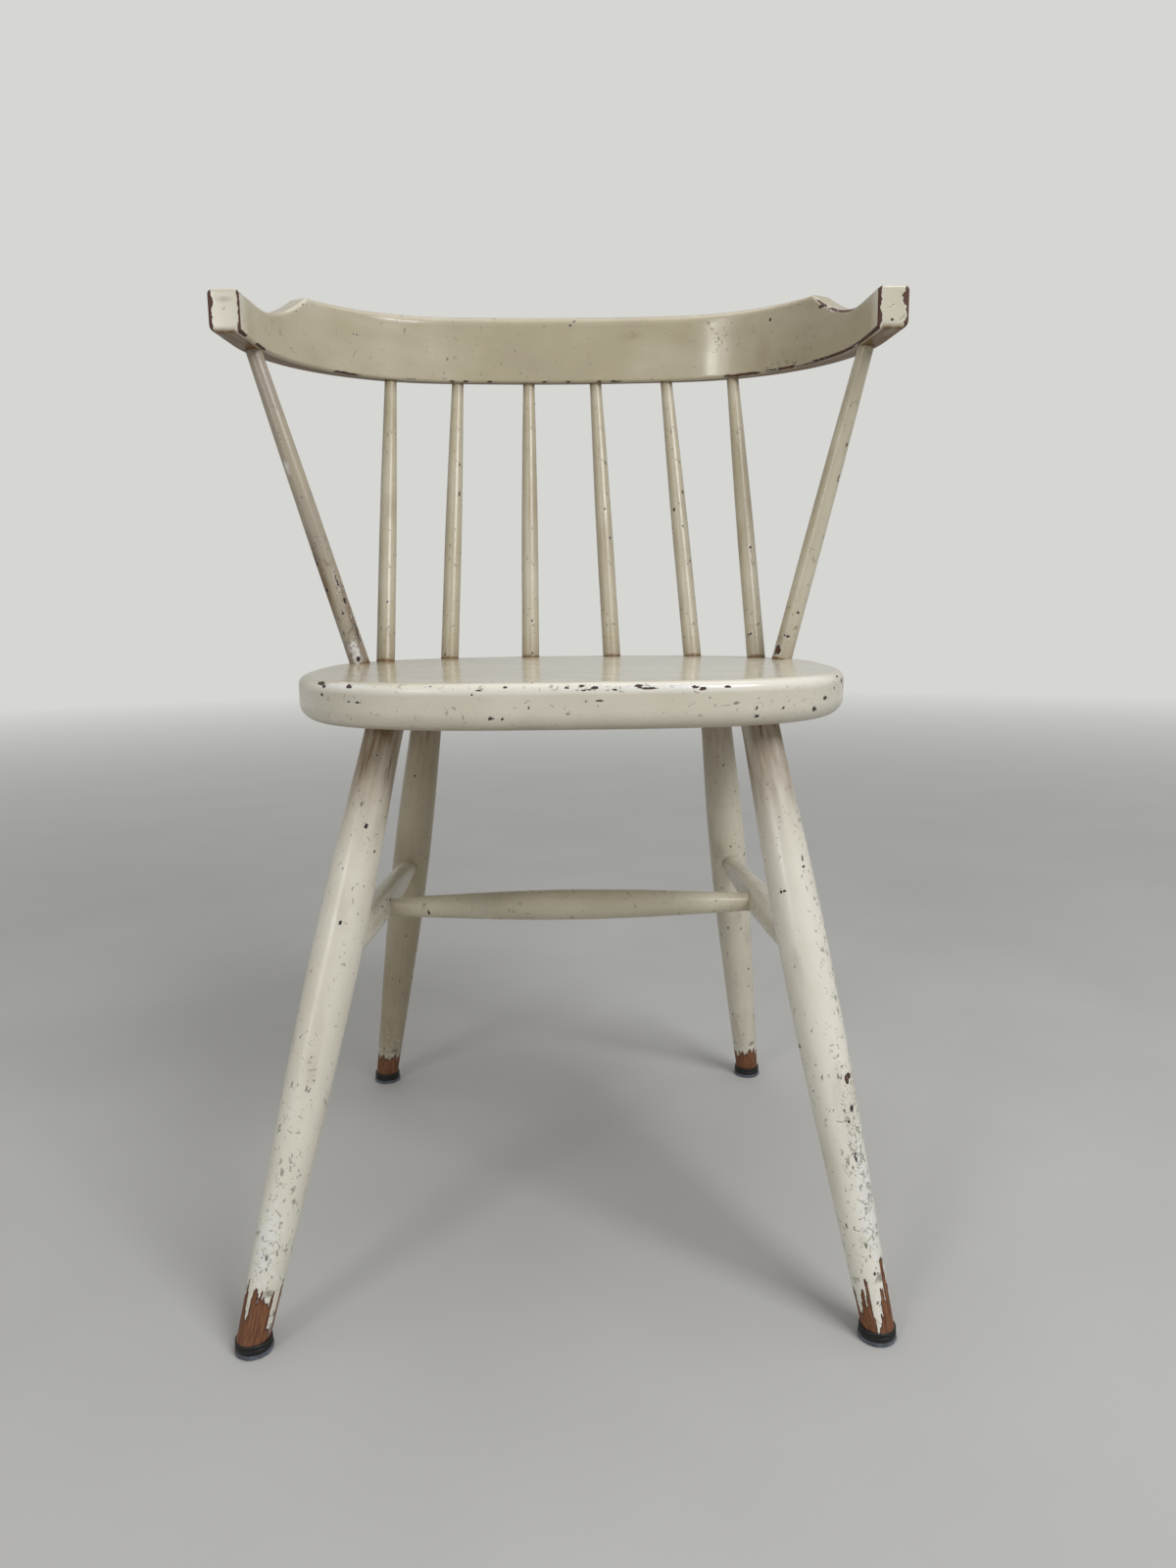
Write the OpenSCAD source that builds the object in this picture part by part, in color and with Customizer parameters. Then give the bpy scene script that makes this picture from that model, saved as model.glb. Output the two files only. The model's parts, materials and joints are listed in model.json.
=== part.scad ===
// Spindle-back chair with a low bent crest rail that ends in two short arms.
// Painted beech: board seat, four splayed legs, an H of stretchers, eight spindles.
// +Z is up, the chair faces -Y, and the floor is Z = 0. Left is -X, as seen from the front.
// The chair is old and has racked: its seat and its rail no longer stand over its feet.

/* [Seat] */
// Width of the seat at its widest
seat_w = 441; // [400:1:540]
// Depth of the seat from its front edge to its back edge
seat_d = 392; // [350:1:450]
// Height of the seat's top above the floor
seat_z = 445; // [380:1:540]
// Thickness of the seat board
seat_t = 34; // [28:1:44]
// Distance from the back edge to the widest line of the seat
seat_wide_at = 160; // [130:1:230]
// Roundness of the front half's outline: 2 is an ellipse, more is squarer
seat_front_n = 3.3; // [2:0.1:4]
// Roundness of the back half's outline
seat_back_n = 2.3; // [2:0.1:4]
// Radius on the seat's top edge
seat_top_r = 7; // [3:0.5:12]
// Radius on the seat's bottom edge
seat_bottom_r = 13; // [3:0.5:14]

/* [Legs] */
// Half the distance between the front feet
front_foot_x = 212.5; // [180:1:250]
// Half the distance between the rear feet
rear_foot_x = 191.5; // [160:1:230]
// Distance from the front feet to the rear feet
foot_base = 425; // [360:1:500]
// Half the distance between the front legs at the seat's underside
front_leg_x = 139; // [110:1:160]
// Half the distance between the rear legs at the seat's underside
rear_leg_x = 136; // [110:1:150]
// Distance of the front legs' tops behind their feet
front_rake = 136.5; // [100:0.5:165]
// Distance of the front legs behind the seat's front edge, at its underside
front_leg_in = 69; // [57:1:90]
// Distance of the rear legs ahead of the seat's back edge, at its underside
rear_leg_in = 88; // [70:1:110]
// Diameter of a leg at the floor
leg_foot_d = 22.5; // [20:0.5:30]
// Diameter of a leg where it is thickest
leg_belly_d = 35.5; // [30:0.1:43]
// Diameter of a leg where it enters the seat
leg_top_d = 28; // [22:0.5:32]
// Height of the thickest place, as a share of the leg's length
leg_belly_at = 0.62; // [0.5:0.01:0.75]
// Depth of a leg's round tenon inside the seat
leg_socket = 20; // [12:1:22]

/* [Stretchers] */
// Height of the stretchers' axes above the floor
stretcher_z = 242; // [200:1:280]
// Diameter of a side stretcher in its middle
side_belly_d = 25; // [22:0.5:28]
// Diameter of a side stretcher at its ends
side_end_d = 17; // [12:0.5:18]
// Diameter of the cross stretcher in its middle
cross_belly_d = 26; // [18:0.5:32]
// Diameter of the cross stretcher at its ends
cross_end_d = 15.5; // [10:0.5:16]
// Distance that a stretcher's end keeps from the axis of the piece it enters
stretcher_stop = 2; // [2:0.5:5]

/* [Spindles] */
// Places of the four spindles of one side, as shares of the seat's half-width
spindle_at = [0.186, 0.549, 0.807, 0.889];
// Distances of these spindles' sides from the rounding of the seat's back edge
spindle_in = [7, 1, 1, 2];
// Diameter of an inner spindle at the seat
inner_foot_d = 17.5; // [12:0.1:20]
// Diameter of an inner spindle at the rail
inner_top_d = 12; // [8:0.5:14]
// Diameter of an outer spindle at the seat
outer_foot_d = 18; // [12:0.5:20]
// Diameter of an outer spindle at the rail
outer_top_d = 14; // [10:0.5:15]
// How much thicker a spindle is a quarter of the way up than at the seat
spindle_swell = -0.5; // [-2:0.5:3]
// Depth of a spindle's tenon in the seat
spindle_seat_socket = 20; // [10:1:24]
// Depth of a spindle's tenon in the rail
spindle_rail_socket = 15; // [8:1:16]

/* [Crest rail] */
// Height of the rail's underside above the seat's top
rail_rise = 276; // [220:1:330]
// Distance of the rail's front face behind the seat's back edge
rail_over = 35; // [20:1:50]
// Height of the rail in the middle of the back
rail_h = 64.5; // [50:0.5:80]
// Fall of the rail's top edge from the middle to the shoulders
rail_crown = 2.5; // [0:0.5:6]
// Height of the rail along the arms
arm_h = 34.5; // [26:0.5:40]
// Thickness of the rail in the middle of the back
rail_mid_t = 22.5; // [18.5:0.25:30]
// Thickness of the rail at the ends of its arms
rail_arm_t = 26.5; // [22:0.5:32]
// Half the distance between the two arms' inner faces
rail_inner_x = 262; // [250:0.5:300]
// Radius of the front face across the back
rail_back_r = 900; // [700:10:1200]
// Radius of the front face at the two bends
rail_bend_r = 165; // [140:1:180]
// Angle through which each side turns, from the middle to its arm
rail_turn = 88; // [84:1:90]
// Length of an arm's straight part
arm_len = 50; // [30:1:90]
// Distance along the front face from the middle to the shoulder's corner
shoulder_s = 264; // [240:1:290]
// Radius of the hollow that joins the back's height to the arm's height
shoulder_r = 112; // [70:1:130]
// Radius on the rail's top edges across the back
rail_top_r = 9.5; // [4:0.5:12]
// Radius on the rail's top edges along the arms
rail_arm_r = 4; // [3:0.5:8]
// Radius on the rail's lower rear edge across the back
rail_under_r = 13; // [6:0.5:15]
// Radius on the rail's lower outer edge along the arms
rail_heel_r = 7; // [3:0.5:10]
// Radius on the rail's lower front edge
rail_front_r = 2.5; // [2.5:0.1:4]
// Distance of the spindles' sockets behind the rail's front face
rail_socket_in = 10.5; // [9:0.5:12]
// Distances along the front face from the middle to the four spindles of one side
spindle_s = [34, 106, 171, 338];

/* [Glides] */
// Thickness of the felt pad
pad_t = 3; // [2:0.5:5]
// Diameter of the felt pad
pad_d = 26.5; // [24:0.5:32]
// Height of the plastic cap
cap_h = 6.6; // [5:0.1:9]
// Diameter of the plastic cap
cap_d = 25.2; // [24:0.1:32]
// Diameter of the nail's shank
nail_d = 2.4; // [2:0.1:3]
// Length of the nail above the cap
nail_len = 16; // [10:1:20]

/* [Racking] */
// Sideways shift of the seat from the middle of its feet
seat_shift = 9.4; // [-12:0.1:12]
// Sideways shift of the rail from the middle of the seat
rail_shift = -5.8; // [-12:0.1:12]

/* [Fits] */
// Clearance all round a tenon in its socket
joint_gap = 0.1; // [0.05:0.05:0.3]
// Clearance at a tenon's end
end_gap = 0.3; // [0.1:0.1:0.5]

/* [Hidden] */
$fn = 64;
paint = "#D9D2BC";
plastic = "#1B1B1D";
felt = "#6E7480";
steel = "#9A9DA0";
neck = 8;              // a leg or spindle keeps its end's diameter this far outside its socket
turn_steps = 14;       // lengths of straight taper that make up a turned piece
outline_steps = 72;    // points round the seat
edge_steps = 4;        // steps round an edge's radius
rail_step = 8;         // greatest spacing of the rail's sections
rail_end_r = 2;        // rounding of the arms' end faces
socket_lead = 10;      // a socket's cutter starts this far outside the surface
socket_seam = 37;      // turn of a socket's wall about its axis, off the wood's own edges
cap_groove = 0.7;      // depth of the groove round a cap
nail_head_d = 8;
nail_head_h = 1.4;
nail_tip = 3;

seat_under_z = seat_z - seat_t;
glide_h = pad_t + cap_h;
foot_y = foot_base / 2;
seat_front_y = front_rake - foot_y - front_leg_in;
seat_back_y = seat_front_y + seat_d;
seat_wide_y = seat_back_y - seat_wide_at;
rail_z = seat_z + rail_rise;
rail_front_y = seat_back_y + rail_over;
rail_x = seat_shift + rail_shift;
// The front face: an arc across the back, a bend and a straight arm, each side of the middle
back_angle = asin((rail_inner_x - rail_bend_r * sin(rail_turn)) / (rail_back_r - rail_bend_r));
back_len = rail_back_r * back_angle * PI / 180;
bend_len = rail_bend_r * (rail_turn - back_angle) * PI / 180;
rail_len = back_len + bend_len + arm_len;
shoulder_drop = rail_h - rail_crown - arm_h;
shoulder_run = sqrt(shoulder_r * shoulder_r - pow(shoulder_r - shoulder_drop, 2));
// The origin is the middle of the chair's box, on the floor
frame_x = rail_x;
frame_y = (rail_front_y + rail_mid_t - foot_y - pad_d / 2) / 2;

// Where a leg's axis meets its glide: row is "front" or "rear", side is -1 or 1
function foot_point(row, side) = row == "front"
    ? [side * front_foot_x, -foot_y, glide_h]
    : [side * rear_foot_x, foot_y, glide_h];

// Where a leg's axis meets the seat's underside
function leg_top(row, side) = row == "front"
    ? [seat_shift + side * front_leg_x, seat_front_y + front_leg_in, seat_under_z]
    : [seat_shift + side * rear_leg_x, seat_back_y - rear_leg_in, seat_under_z];

// The point of a leg's axis at height z
function leg_at(row, side, z) =
    foot_point(row, side)
        + (leg_top(row, side) - foot_point(row, side)) * (z - glide_h) / (seat_under_z - glide_h);

// A leg's diameter at share t of its length: a long swell above a slim foot
function leg_d(t) = t < leg_belly_at
    ? leg_foot_d + (leg_belly_d - leg_foot_d) * pow(sin(90 * t / leg_belly_at), 1.2)
    : leg_top_d + (leg_belly_d - leg_top_d) * pow(cos(90 * (t - leg_belly_at) / (1 - leg_belly_at)), 1.4);

// The seat's outline, drawn in by inset, at height z
function seat_ring(inset, z) = [
    for (i = [0 : outline_steps - 1])
        let (a = 360 * i / outline_steps,
             back = sin(a) >= 0,
             n = back ? seat_back_n : seat_front_n,
             deep = (back ? seat_wide_at : seat_d - seat_wide_at) - inset,
             x = sign(cos(a)) * pow(abs(cos(a)), 2 / n) * (seat_w / 2 - inset),
             y = sign(sin(a)) * pow(abs(sin(a)), 2 / n) * deep)
        [seat_shift + x, seat_wide_y + y, z]
];

// The back outline's Y at half-width x, drawn in by inset
function seat_back_at(x, inset) = seat_wide_y + (seat_wide_at - inset)
    * pow(1 - pow(x / (seat_w / 2 - inset), seat_back_n), 1 / seat_back_n);

// The rail's front face at distance s from the middle: [x, y, angle turned]
function rail_front(s) =
    s <= back_len
        ? let (a = s / back_len * back_angle)
          [rail_back_r * sin(a), rail_front_y - rail_back_r * (1 - cos(a)), a]
    : s <= back_len + bend_len
        ? let (a = back_angle + (s - back_len) / rail_bend_r * 180 / PI,
               start = rail_front(back_len))
          [start.x + rail_bend_r * (sin(a) - sin(back_angle)),
           start.y - rail_bend_r * (cos(back_angle) - cos(a)), a]
    : let (start = rail_front(back_len + bend_len), run = s - back_len - bend_len)
      [start.x + run * cos(rail_turn), start.y - run * sin(rail_turn), rail_turn];

// How far a place is from the back's shape, 0, towards the arm's shape, 1
function arm_share(s) = let (t = max(0, min(1, (s - 0.2 * rail_len) / (0.65 * rail_len)))) t * t * (3 - 2 * t);

// The rail's thickness and height at distance s
function rail_t(s) = rail_mid_t + (rail_arm_t - rail_mid_t) * arm_share(s);
function rail_top(s) = let (run = shoulder_s + shoulder_run - s)
    s <= shoulder_s ? rail_h - rail_crown * pow(s / shoulder_s, 2)
    : run <= 0 ? arm_h
    : arm_h + shoulder_r - sqrt(shoulder_r * shoulder_r - run * run);

// A quarter round of radius r about c, from angle a, as [depth, height] points
function quarter(c, r, a) = [
    for (i = [0 : edge_steps - 1]) c + r * [cos(a - 90 * i / (edge_steps - 1)), sin(a - 90 * i / (edge_steps - 1))]
];

// The rail's section, drawn in by cut: crisp at the front, rounded at the top and the bottom's back
function rail_section(s, cut) =
    let (t = rail_t(s), h = rail_top(s), k = arm_share(s),
         top = min(rail_top_r * (1 - k) + rail_arm_r * k, t / 2 - 0.5),
         under = min(rail_under_r * (1 - k) + rail_heel_r * k, t - rail_front_r - 1),
         front = rail_front_r)
    concat(
        quarter([t - under, under], under - cut, 0),
        quarter([front, front], front - cut, -90),
        quarter([top, h - top], top - cut, 180),
        quarter([t - top, h - top], top - cut, 90));

// One section set in place at distance s, on side -1 or 1
function rail_ring(s, side, cut) = let (f = rail_front(s)) [
    for (p = rail_section(s, cut))
        [rail_x + side * (f.x + p.x * sin(f.z)), f.y + p.x * cos(f.z), rail_z + p.y]
];

// Where a spindle stands on the seat and where it meets the rail: i is 0 to 3 from the middle
function spindle_foot_d(i) = i == 3 ? outer_foot_d : inner_foot_d;
function spindle_top_d(i) = i == 3 ? outer_top_d : inner_top_d;
function spindle_foot(i, side) =
    let (x = spindle_at[i] * seat_w / 2, inset = seat_top_r + spindle_foot_d(i) / 2 + spindle_in[i])
    [seat_shift + side * x, seat_back_at(x, inset), seat_z];
function spindle_top(i, side) =
    let (f = rail_front(spindle_s[i]))
    [rail_x + side * (f.x + rail_socket_in * sin(f.z)), f.y + rail_socket_in * cos(f.z), rail_z];

// A stretcher's ends: the points that it stops short of are on the axes of what it enters
function side_end(row, side) = leg_at(row, side, stretcher_z);
function cross_end(side) = (side_end("front", side) + side_end("rear", side)) / 2;
function stepped(a, b, by) = a + (b - a) * by / norm(b - a);

// Puts the chair's natural frame, centred on its feet, into the part's frame
module in_frame() {
    translate([-frame_x, -frame_y, 0]) children();
}

// Turns +Z to run from a towards b, with +X turned to the side that a leg leans away from
module along(a, b) {
    d = b - a;
    translate(a) rotate([0, acos(d.z / norm(d)), atan2(d.y, d.x)]) rotate(180) children();
}

// A closed skin through rings that have the same number of points
module skin(rings) {
    n = len(rings[0]);
    last = len(rings) - 1;
    polyhedron(
        points = [for (ring = rings) each ring],
        faces = concat(
            [[for (i = [0 : n - 1]) i]],
            [for (r = [0 : last - 1]) for (i = [0 : n - 1]) for (half = [0, 1])
                let (j = (i + 1) % n)
                half == 0
                    ? [r * n + i, (r + 1) * n + i, r * n + j]
                    : [r * n + j, (r + 1) * n + i, (r + 1) * n + j]],
            [[for (i = [n - 1 : -1 : 0]) last * n + i]]),
        convexity = 6);
}

// A turned stick from a to b: plain ends of length plain, tenons beyond them and a swell between
module turned(a, b, foot_d, belly_d, top_d, belly_at, plain, foot_tenon, top_tenon) {
    body = norm(b - a) - 2 * plain;
    swell = [
        for (i = [0 : turn_steps])
            let (t = i / turn_steps,
                 d = t < belly_at
                     ? foot_d + (belly_d - foot_d) * sin(90 * t / belly_at)
                     : top_d + (belly_d - top_d) * cos(90 * (t - belly_at) / (1 - belly_at)))
            [d / 2, plain + t * body]
    ];
    along(a, b) rotate_extrude() polygon(concat(
        [[0, -foot_tenon], [foot_d / 2, -foot_tenon]],
        swell,
        [[top_d / 2, norm(b - a) + top_tenon], [0, norm(b - a) + top_tenon]]));
}

// The cutter for a round socket of depth deep that runs on from b, away from a
module socket(a, b, d, deep) {
    translate(b - a) along(a, b) rotate(socket_seam) translate([0, 0, -socket_lead])
        cylinder(d = d + 2 * joint_gap, h = deep + end_gap + socket_lead);
}

module spindle_sockets_in_seat() {
    for (side = [-1, 1])
        for (i = [0 : 3])
            socket(spindle_top(i, side), spindle_foot(i, side), spindle_foot_d(i), spindle_seat_socket);
}

module spindle_sockets_in_rail() {
    for (side = [-1, 1])
        for (i = [0 : 3])
            socket(spindle_foot(i, side), spindle_top(i, side), spindle_top_d(i), spindle_rail_socket);
}

module leg_sockets() {
    for (row = ["front", "rear"])
        for (side = [-1, 1])
            socket(foot_point(row, side), leg_top(row, side), leg_top_d, leg_socket);
}

// The board seat: a soft-cornered outline with rounded edges, bored for legs and spindles
module seat() {
    low = [for (i = [0 : edge_steps]) let (a = 90 * i / edge_steps)
        seat_ring(seat_bottom_r * (1 - sin(a)), seat_under_z + seat_bottom_r * (1 - cos(a)))];
    high = [for (i = [edge_steps : -1 : 0]) let (a = 90 * i / edge_steps)
        seat_ring(seat_top_r * (1 - sin(a)), seat_z - seat_top_r * (1 - cos(a)))];
    color(paint) in_frame() difference() {
        skin(concat(low, high));
        leg_sockets();
        spindle_sockets_in_seat();
    }
}

// The bent rail: high across the back, stepped down through two hollows to the arms
module crest_rail() {
    marks = [0, shoulder_s, shoulder_s + shoulder_run, rail_len - rail_end_r];
    stations = [
        for (m = [0 : 2])
            let (run = marks[m + 1] - marks[m], steps = ceil(run / rail_step))
            for (i = [1 : steps]) marks[m] + i * run / steps
    ];
    half_right = concat([for (s = stations) rail_ring(s, 1, 0)], [rail_ring(rail_len, 1, rail_end_r)]);
    half_left = concat([for (s = stations) rail_ring(s, -1, 0)], [rail_ring(rail_len, -1, rail_end_r)]);
    rings = concat(
        [for (i = [len(half_left) - 1 : -1 : 0]) half_left[i]],
        [rail_ring(0, 1, 0)],
        half_right);
    color(paint) in_frame() difference() {
        skin(rings);
        spindle_sockets_in_rail();
    }
}

// One spindle: i counts from the middle, 3 is the outer one that splays to the arm
module spindle(i, side) {
    foot_d = spindle_foot_d(i);
    color(paint) in_frame()
        turned(spindle_foot(i, side), spindle_top(i, side), foot_d, foot_d + spindle_swell,
               spindle_top_d(i), 0.25, neck, spindle_seat_socket, spindle_rail_socket);
}

// One leg: cut level at its glide, bored for its nail and for a side stretcher
module leg(row, side) {
    foot = foot_point(row, side);
    top = leg_top(row, side);
    body = norm(top - foot) - neck;
    spare = leg_foot_d / 2;
    other = side_end(row == "front" ? "rear" : "front", side);
    color(paint) in_frame() difference() {
        along(foot, top) rotate_extrude() polygon(concat(
            [[0, -spare], [leg_foot_d / 2, -spare]],
            [for (i = [0 : turn_steps]) [leg_d(i / turn_steps) / 2, i / turn_steps * body]],
            [[leg_top_d / 2, norm(top - foot) + leg_socket], [0, norm(top - foot) + leg_socket]]));
        translate([foot.x - 2 * spare, foot.y - 2 * spare, glide_h - 4 * spare])
            cube(4 * spare);
        translate([foot.x, foot.y, glide_h - 1])
            cylinder(d = nail_d + 2 * joint_gap, h = nail_len + 1 + end_gap);
        along(side_end(row, side), other)
            translate([0, 0, stretcher_stop - end_gap])
            cylinder(d = side_end_d + 2 * joint_gap, h = leg_belly_d);
    }
}

// One side stretcher, from the front leg to the rear leg, bored for the cross stretcher
module side_stretcher(side) {
    a = stepped(side_end("front", side), side_end("rear", side), stretcher_stop);
    b = stepped(side_end("rear", side), side_end("front", side), stretcher_stop);
    color(paint) in_frame() difference() {
        turned(a, b, side_end_d, side_belly_d, side_end_d, 0.5, leg_belly_d / 2 + 4, 0, 0);
        along(cross_end(side), cross_end(-side))
            translate([0, 0, stretcher_stop - end_gap])
            cylinder(d = cross_end_d + 2 * joint_gap, h = side_belly_d);
    }
}

// The cross stretcher, between the two side stretchers
module stretcher_cross() {
    color(paint) in_frame()
        turned(stepped(cross_end(-1), cross_end(1), stretcher_stop),
               stepped(cross_end(1), cross_end(-1), stretcher_stop),
               cross_end_d, cross_belly_d, cross_end_d, 0.5, side_belly_d / 2 + 1, 0, 0);
}

// A leg's plastic cap: two rings with a groove between, and a hollow for the nail's head
module glide_cap(row, side) {
    end = foot_point(row, side);
    r = cap_d / 2;
    hole = nail_d / 2 + joint_gap;
    head = nail_head_d / 2 + joint_gap;
    hollow = nail_head_h + 2 * joint_gap;
    color(plastic) in_frame() translate([end.x, end.y, pad_t]) rotate_extrude() polygon([
        [head, 0], [r - 0.6, 0], [r, 0.6], [r, cap_h * 0.45],
        [r - cap_groove, cap_h * 0.5], [r - cap_groove, cap_h * 0.6],
        [r - 0.2, cap_h * 0.66], [r - 0.2, cap_h - 0.8], [r - 1, cap_h],
        [hole, cap_h], [hole, hollow], [head, hollow]
    ]);
}

// The nail that holds a glide to its leg
module glide_nail(row, side) {
    end = foot_point(row, side);
    top = cap_h - joint_gap + nail_len;
    color(steel) in_frame() translate([end.x, end.y, pad_t + joint_gap]) rotate_extrude() polygon([
        [0, 0], [nail_head_d / 2, 0], [nail_head_d / 2, nail_head_h * 0.5],
        [nail_d / 2, nail_head_h], [nail_d / 2, top - nail_tip], [0, top]
    ]);
}

// The felt pad under a cap
module felt_pad(row, side) {
    end = foot_point(row, side);
    color(felt) in_frame() translate([end.x, end.y, 0]) cylinder(d = pad_d, h = pad_t);
}

seat();
crest_rail();
spindle(3, -1);  // spindle_1
spindle(2, -1);  // spindle_2
spindle(1, -1);  // spindle_3
spindle(0, -1);  // spindle_4
spindle(0, 1);  // spindle_5
spindle(1, 1);  // spindle_6
spindle(2, 1);  // spindle_7
spindle(3, 1);  // spindle_8
leg("front", -1);  // leg_front_left
leg("front", 1);  // leg_front_right
leg("rear", -1);  // leg_rear_left
leg("rear", 1);  // leg_rear_right
side_stretcher(-1);  // stretcher_left
side_stretcher(1);  // stretcher_right
stretcher_cross();
glide_cap("front", -1);  // glide_cap_front_left
glide_cap("front", 1);  // glide_cap_front_right
glide_cap("rear", -1);  // glide_cap_rear_left
glide_cap("rear", 1);  // glide_cap_rear_right
glide_nail("front", -1);  // glide_nail_front_left
glide_nail("front", 1);  // glide_nail_front_right
glide_nail("rear", -1);  // glide_nail_rear_left
glide_nail("rear", 1);  // glide_nail_rear_right
felt_pad("front", -1);  // felt_pad_front_left
felt_pad("front", 1);  // felt_pad_front_right
felt_pad("rear", -1);  // felt_pad_rear_left
felt_pad("rear", 1);  // felt_pad_rear_right
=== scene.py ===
"""A racked, chipped spindle-back chair in ivory gloss paint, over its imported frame.

Sizes are in millimetres until a mesh is written, and the frame is in metres: +Z is up,
the chair faces -Y and the floor is Z = 0. Each sub-assembly is a class that shapes its
pieces, wears them and dresses them in their finishes.
"""

from __future__ import annotations

import json
import logging
import math
from dataclasses import dataclass, field
from enum import Enum
from typing import Any

import bpy
import numpy as np
from bpy.types import Material, Mesh, Node, NodeSocket, NodeTree, Object
from mathutils import Matrix, Vector

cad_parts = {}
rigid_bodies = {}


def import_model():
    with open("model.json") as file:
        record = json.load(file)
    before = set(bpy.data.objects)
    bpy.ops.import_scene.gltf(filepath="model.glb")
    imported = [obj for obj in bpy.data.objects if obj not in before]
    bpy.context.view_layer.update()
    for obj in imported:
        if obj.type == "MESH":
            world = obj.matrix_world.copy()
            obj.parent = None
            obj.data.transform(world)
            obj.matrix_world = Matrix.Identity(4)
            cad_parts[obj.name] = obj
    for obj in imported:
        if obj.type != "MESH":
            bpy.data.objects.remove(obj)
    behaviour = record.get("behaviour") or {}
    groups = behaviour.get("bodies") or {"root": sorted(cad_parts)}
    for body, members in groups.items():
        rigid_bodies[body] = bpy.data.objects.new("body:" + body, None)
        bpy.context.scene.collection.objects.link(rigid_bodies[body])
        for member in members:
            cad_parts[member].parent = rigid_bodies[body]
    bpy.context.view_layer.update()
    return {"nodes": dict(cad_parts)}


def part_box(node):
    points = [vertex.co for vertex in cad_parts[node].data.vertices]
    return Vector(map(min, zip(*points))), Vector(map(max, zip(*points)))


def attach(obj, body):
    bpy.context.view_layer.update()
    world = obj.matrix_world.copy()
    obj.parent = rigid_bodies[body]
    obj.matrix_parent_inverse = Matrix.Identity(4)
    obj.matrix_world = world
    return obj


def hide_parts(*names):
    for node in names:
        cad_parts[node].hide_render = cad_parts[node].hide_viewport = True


log = logging.getLogger("chair")
MM = 0.001
AGED = 0.62  # the tone at which the paint has its plain aged colour
POLYMER_IOR = 1.5  # of dry gloss paint and of hard plastic
PRIME_X, PRIME_Y, PRIME_Z = 73856093, 19349663, 83492791  # mix a lattice point into one seed


# ---------------------------------------------------------------- colours and nodes


def linear(code: str, alpha: float = 1.0) -> tuple[float, float, float, float]:
    """Turns an sRGB hex colour to linear.

    Args:
        code: Six hex digits, with or without a leading hash.
        alpha: The fourth channel.

    Returns:
        Red, green, blue and alpha.
    """
    digits = code.lstrip("#")
    levels = [int(digits[i : i + 2], 16) / 255 for i in (0, 2, 4)]
    red, green, blue = (
        v / 12.92 if v <= 0.04045 else ((v + 0.055) / 1.055) ** 2.4 for v in levels
    )
    return (red, green, blue, alpha)


def add_node(
    tree: NodeTree,
    kind: str,
    settings: dict[str, Any] | None = None,
    links: dict[Any, Any] | None = None,
) -> Node:
    """Adds one node to a tree.

    Args:
        tree: The node tree.
        kind: The node's type name.
        settings: Attributes of the node by name; a key that is an input's name or index
            in square brackets, such as "[Scale]" or "[2]", sets that input's value.
        links: Input name or index to the output socket that feeds it.

    Returns:
        The new node.
    """
    node = tree.nodes.new(kind)
    for key, value in (settings or {}).items():
        if key.startswith("["):
            name = key[1:-1]
            node.inputs[int(name) if name.isdigit() else name].default_value = value
        else:
            setattr(node, key, value)
    for name, socket in (links or {}).items():
        tree.links.new(socket, node.inputs[name])
    return node


def ramp(
    tree: NodeTree, fac: NodeSocket, stops: list[tuple[float, str]]
) -> NodeSocket:
    """Colours a value by hex stops.

    Args:
        tree: The node tree.
        fac: The value.
        stops: Place and hex colour of each stop, in order.

    Returns:
        The colour output.
    """
    node = add_node(tree, "ShaderNodeValToRGB", links={"Fac": fac})
    bar = node.color_ramp
    while len(bar.elements) < len(stops):
        bar.elements.new(0.5)
    for element, (place, code) in zip(bar.elements, stops):
        element.position = place
        element.color = linear(code)
    return node.outputs["Color"]


def maths(
    tree: NodeTree, operation: str, a: Any, b: Any = 0.0, c: Any = 0.0, clamp: bool = False
) -> NodeSocket:
    """Does one sum on values that are numbers or sockets.

    Args:
        tree: The node tree.
        operation: The Math node's operation.
        a: First value.
        b: Second value.
        c: Third value.
        clamp: Whether the result is held between 0 and 1.

    Returns:
        The result's socket.
    """
    node = add_node(tree, "ShaderNodeMath", {"operation": operation, "use_clamp": clamp})
    for socket, value in zip(node.inputs, (a, b, c)):
        if isinstance(value, NodeSocket):
            tree.links.new(value, socket)
        else:
            socket.default_value = value
    return node.outputs[0]


def blend_colour(tree: NodeTree, fac: Any, under: Any, over: Any) -> NodeSocket:
    """Lays one colour over another.

    Args:
        tree: The node tree.
        fac: How much of the upper colour shows: a socket or a number.
        under: The lower colour's socket, or a hex code.
        over: The upper colour's socket, or a hex code.

    Returns:
        The mixed colour's socket.
    """
    node = add_node(tree, "ShaderNodeMix", {"data_type": "RGBA", "clamp_factor": True})
    for name, value in (("Factor_Float", fac), ("A_Color", under), ("B_Color", over)):
        socket = next(s for s in node.inputs if s.identifier == name)
        if isinstance(value, NodeSocket):
            tree.links.new(value, socket)
        else:
            socket.default_value = linear(value) if isinstance(value, str) else value
    return next(s for s in node.outputs if s.identifier == "Result_Color")


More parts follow.
